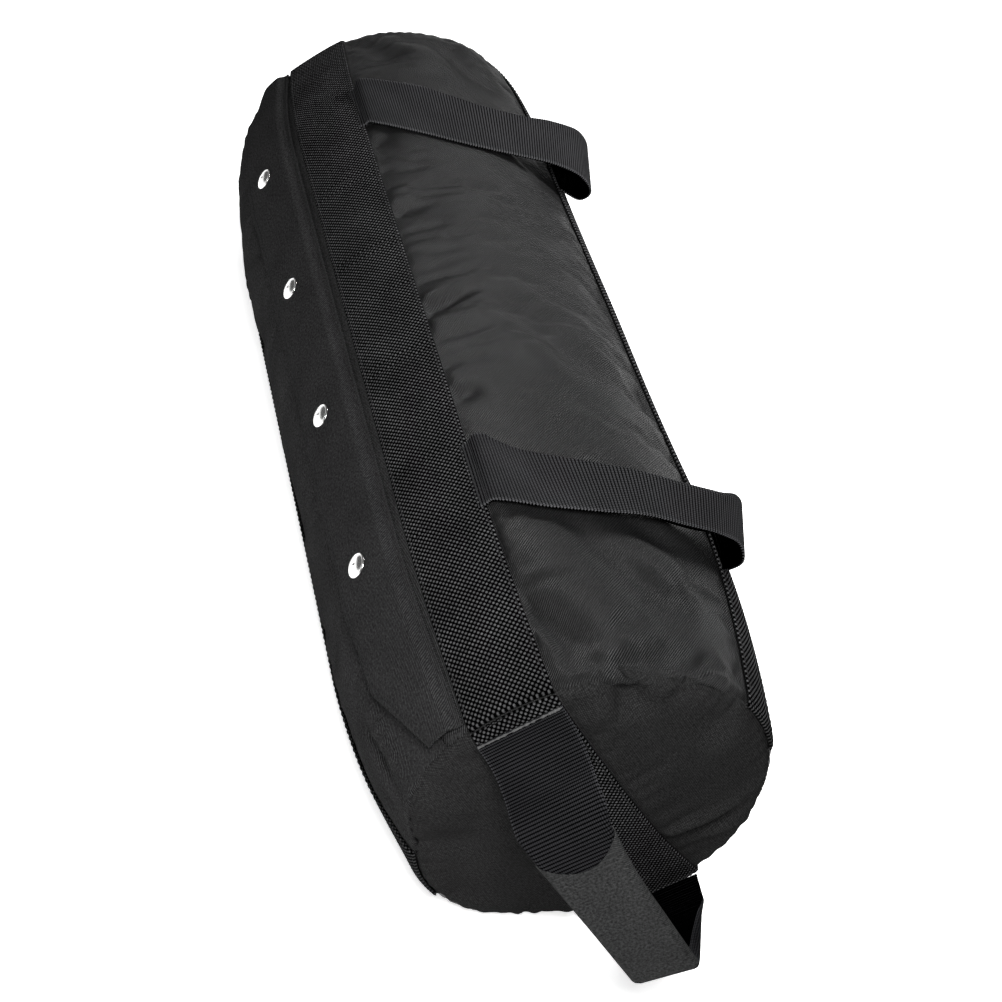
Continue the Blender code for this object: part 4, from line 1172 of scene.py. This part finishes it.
# --- filler bags ------------------------------------------------------------------------------------
def from_node(name, node, mat, slot_name, step, inset, seed):
    """An uneven copy of a hidden soft solid of the model."""
    source = NODES[node].data.copy()
    obj = bpy.data.objects.new(name, source)
    bpy.context.scene.collection.objects.link(obj)
    source.name = name
    source.materials.clear()
    source.materials.append(mat)
    co = np.zeros(len(source.vertices) * 3, np.float32)
    source.vertices.foreach_get("co", co)
    co = co.reshape(-1, 3).astype(float)
    arm = co - np.array([0, 0, AXIS_HEIGHT])
    arm[:, 0] = 0
    reach = np.linalg.norm(arm, axis=1) + 1e-9
    turn = np.degrees(np.arctan2(arm[:, 1], arm[:, 2]))
    inward = inset - np.minimum(sag(co[:, 0], turn), 0.0)
    inward = inward + 0.0008 * noise(co[:, 0] / step + 7, turn / 12, seed)
    co -= arm * (inward * smooth(0.03, 0.08, reach) / reach)[:, None]
    source.vertices.foreach_set("co", co.astype(np.float32).ravel())
    weave = np.zeros((len(co), 3), np.float32)
    weave[:, 0], weave[:, 1] = co[:, 0], np.arctan2(co[:, 1], co[:, 2] - AXIS_HEIGHT) * MID_RADIUS
    source.attributes.new("weave", "FLOAT_VECTOR", "POINT").data.foreach_set("vector", weave.ravel())
    source.update()
    settle(obj, "bag", slot_name, node)
    return obj


for key in ("near", "far"):
    from_node(f"filler_liner_{key}", f"liner_{key}", LINER_CLOTH, "liner_cloth", 0.03, 0.0060, 51)
    from_node(f"filler_sand_{key}", f"sand_{key}", SAND, "sand", 0.03, 0.0066, 51)
    for kind in ("hook", "loop"):
        node = NODES[f"{kind}_strip_{key}"]
        node.data.materials.clear()
        node.data.materials.append(HOOKS)


# --- stitching --------------------------------------------------------------------------------------
STITCH_INSET = 0.0022
SEAM_PITCH = 0.0048


def stitch_everything():
    sewn = Threads()
    xs = np.arange(-HALF + 0.006, HALF - 0.006, 0.002)
    for angle in WEBBING_ANGLES:
        for w in (-WEBBING_HALF + STITCH_INSET, WEBBING_HALF - STITCH_INSET):
            turns = angle + np.degrees(w / barrel_radius(xs))
            sewn.run(on_bag(xs, turns, WEBBING_LIFT + WEBBING), outward(turns), pitch=SEAM_PITCH)
    hem = np.linspace(-0.322, 0.322, 320)
    for turn in (HEM_ANGLE - 0.5, HEM_ANGLE - 2.2):
        turns = np.full(hem.shape, turn)
        sewn.run(on_bag(hem, turns, flap_lift(hem, turns)), outward(turns))
    for side in (1, -1):
        for w in (-WEBBING_HALF + STITCH_INSET, WEBBING_HALF - STITCH_INSET):
            us = np.linspace(-0.100, 0.100, 120)
            path = on_end(side, us, np.full(us.shape, w), dome(us, w) + WEBBING_LIFT + WEBBING)
            sewn.run(path, np.tile([side, 0, 0], (len(us), 1)), pitch=SEAM_PITCH)
    obj = sewn.mesh("seam_stitches", THREAD)
    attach(obj, "bag")

    edge = Threads()
    xs = np.linspace(-0.268, 0.268, 260)
    turns = flap_edge(xs) + 2.0
    edge.run(on_bag(xs, turns, flap_lift(xs, turns)), outward(turns))
    for side in (1, -1):
        xs = np.linspace(0.270, 0.318, 40) * side
        turns = flap_edge(xs) + 2.0
        edge.run(on_bag(xs, turns, flap_lift(xs, turns)), outward(turns))
    obj = edge.mesh("flap_stitches", THREAD)
    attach(obj, "flap")


stitch_everything()

# --- the floor, the light and the camera --------------------------------------------------------------
FLOOR_GLOW = 0.75
WORLD_STRENGTH = 0.12
CAMERA_LENS = 63.34
CAMERA_PLACE = (0.87832, -0.46054, 0.80377)
CAMERA_RIGHT = (0.226803, 0.907480, 0.353610)
CAMERA_DOWN = (0.689235, 0.106973, -0.716597)
CAMERA_FORWARD = (-0.688124, 0.406247, -0.601206)


def pale_floor():
    f = Finish("pale_floor", (0.94, 0.94, 0.94), 0.9, specular=0.1)
    f.shader.inputs["Emission Color"].default_value = (1, 1, 1, 1)
    f.shader.inputs["Emission Strength"].default_value = FLOOR_GLOW
    f.place()
    f.paint(f.spread(f.noise(3.0, 2.0), 0.3, 0.7, 0.99, 1.0))
    line = np.linspace(-4, 4, 9)
    x, y = np.meshgrid(line, line, indexing="ij")
    obj = new_mesh("floor", np.stack([x, y, x * 0 - 0.0002], axis=-1), grid_faces(9, 9), None, f.mat)


def light(name, towards, size, power, far=2.2):
    data = bpy.data.lights.new(name, "AREA")
    data.shape = "DISK"
    data.size = size
    data.energy = power
    obj = bpy.data.objects.new(name, data)
    bpy.context.scene.collection.objects.link(obj)
    direction = Vector(towards).normalized()
    obj.location = Vector((0, 0, AXIS_HEIGHT)) + direction * far
    obj.rotation_euler = direction.to_track_quat("Z", "Y").to_euler()


def set_scene():
    pale_floor()
    scene = bpy.context.scene
    scene.view_settings.view_transform = "Standard"
    scene.view_settings.look = "None"
    world = bpy.data.worlds.new("studio")
    scene.world = world
    world.use_nodes = True
    back = world.node_tree.nodes["Background"]
    back.inputs["Color"].default_value = (1, 1, 1, 1)
    back.inputs["Strength"].default_value = WORLD_STRENGTH
    light("key", (-0.24, 0.30, 0.92), 0.22, 7.5, far=0.70)
    light("rear", (-0.69, 0.41, 0.60), 0.6, 8)
    light("front", (0.68, -0.34, 0.74), 0.35, 17, far=1.1)

    data = bpy.data.cameras.new("camera")
    data.sensor_width = 36.0
    data.lens = CAMERA_LENS
    camera = bpy.data.objects.new("camera", data)
    turn = Matrix((Vector(CAMERA_RIGHT), -Vector(CAMERA_DOWN), -Vector(CAMERA_FORWARD))).transposed()
    camera.matrix_world = Matrix.Translation(CAMERA_PLACE) @ turn.to_4x4()
    scene.collection.objects.link(camera)
    scene.camera = camera


set_scene()

bpy.context.view_layer.update()
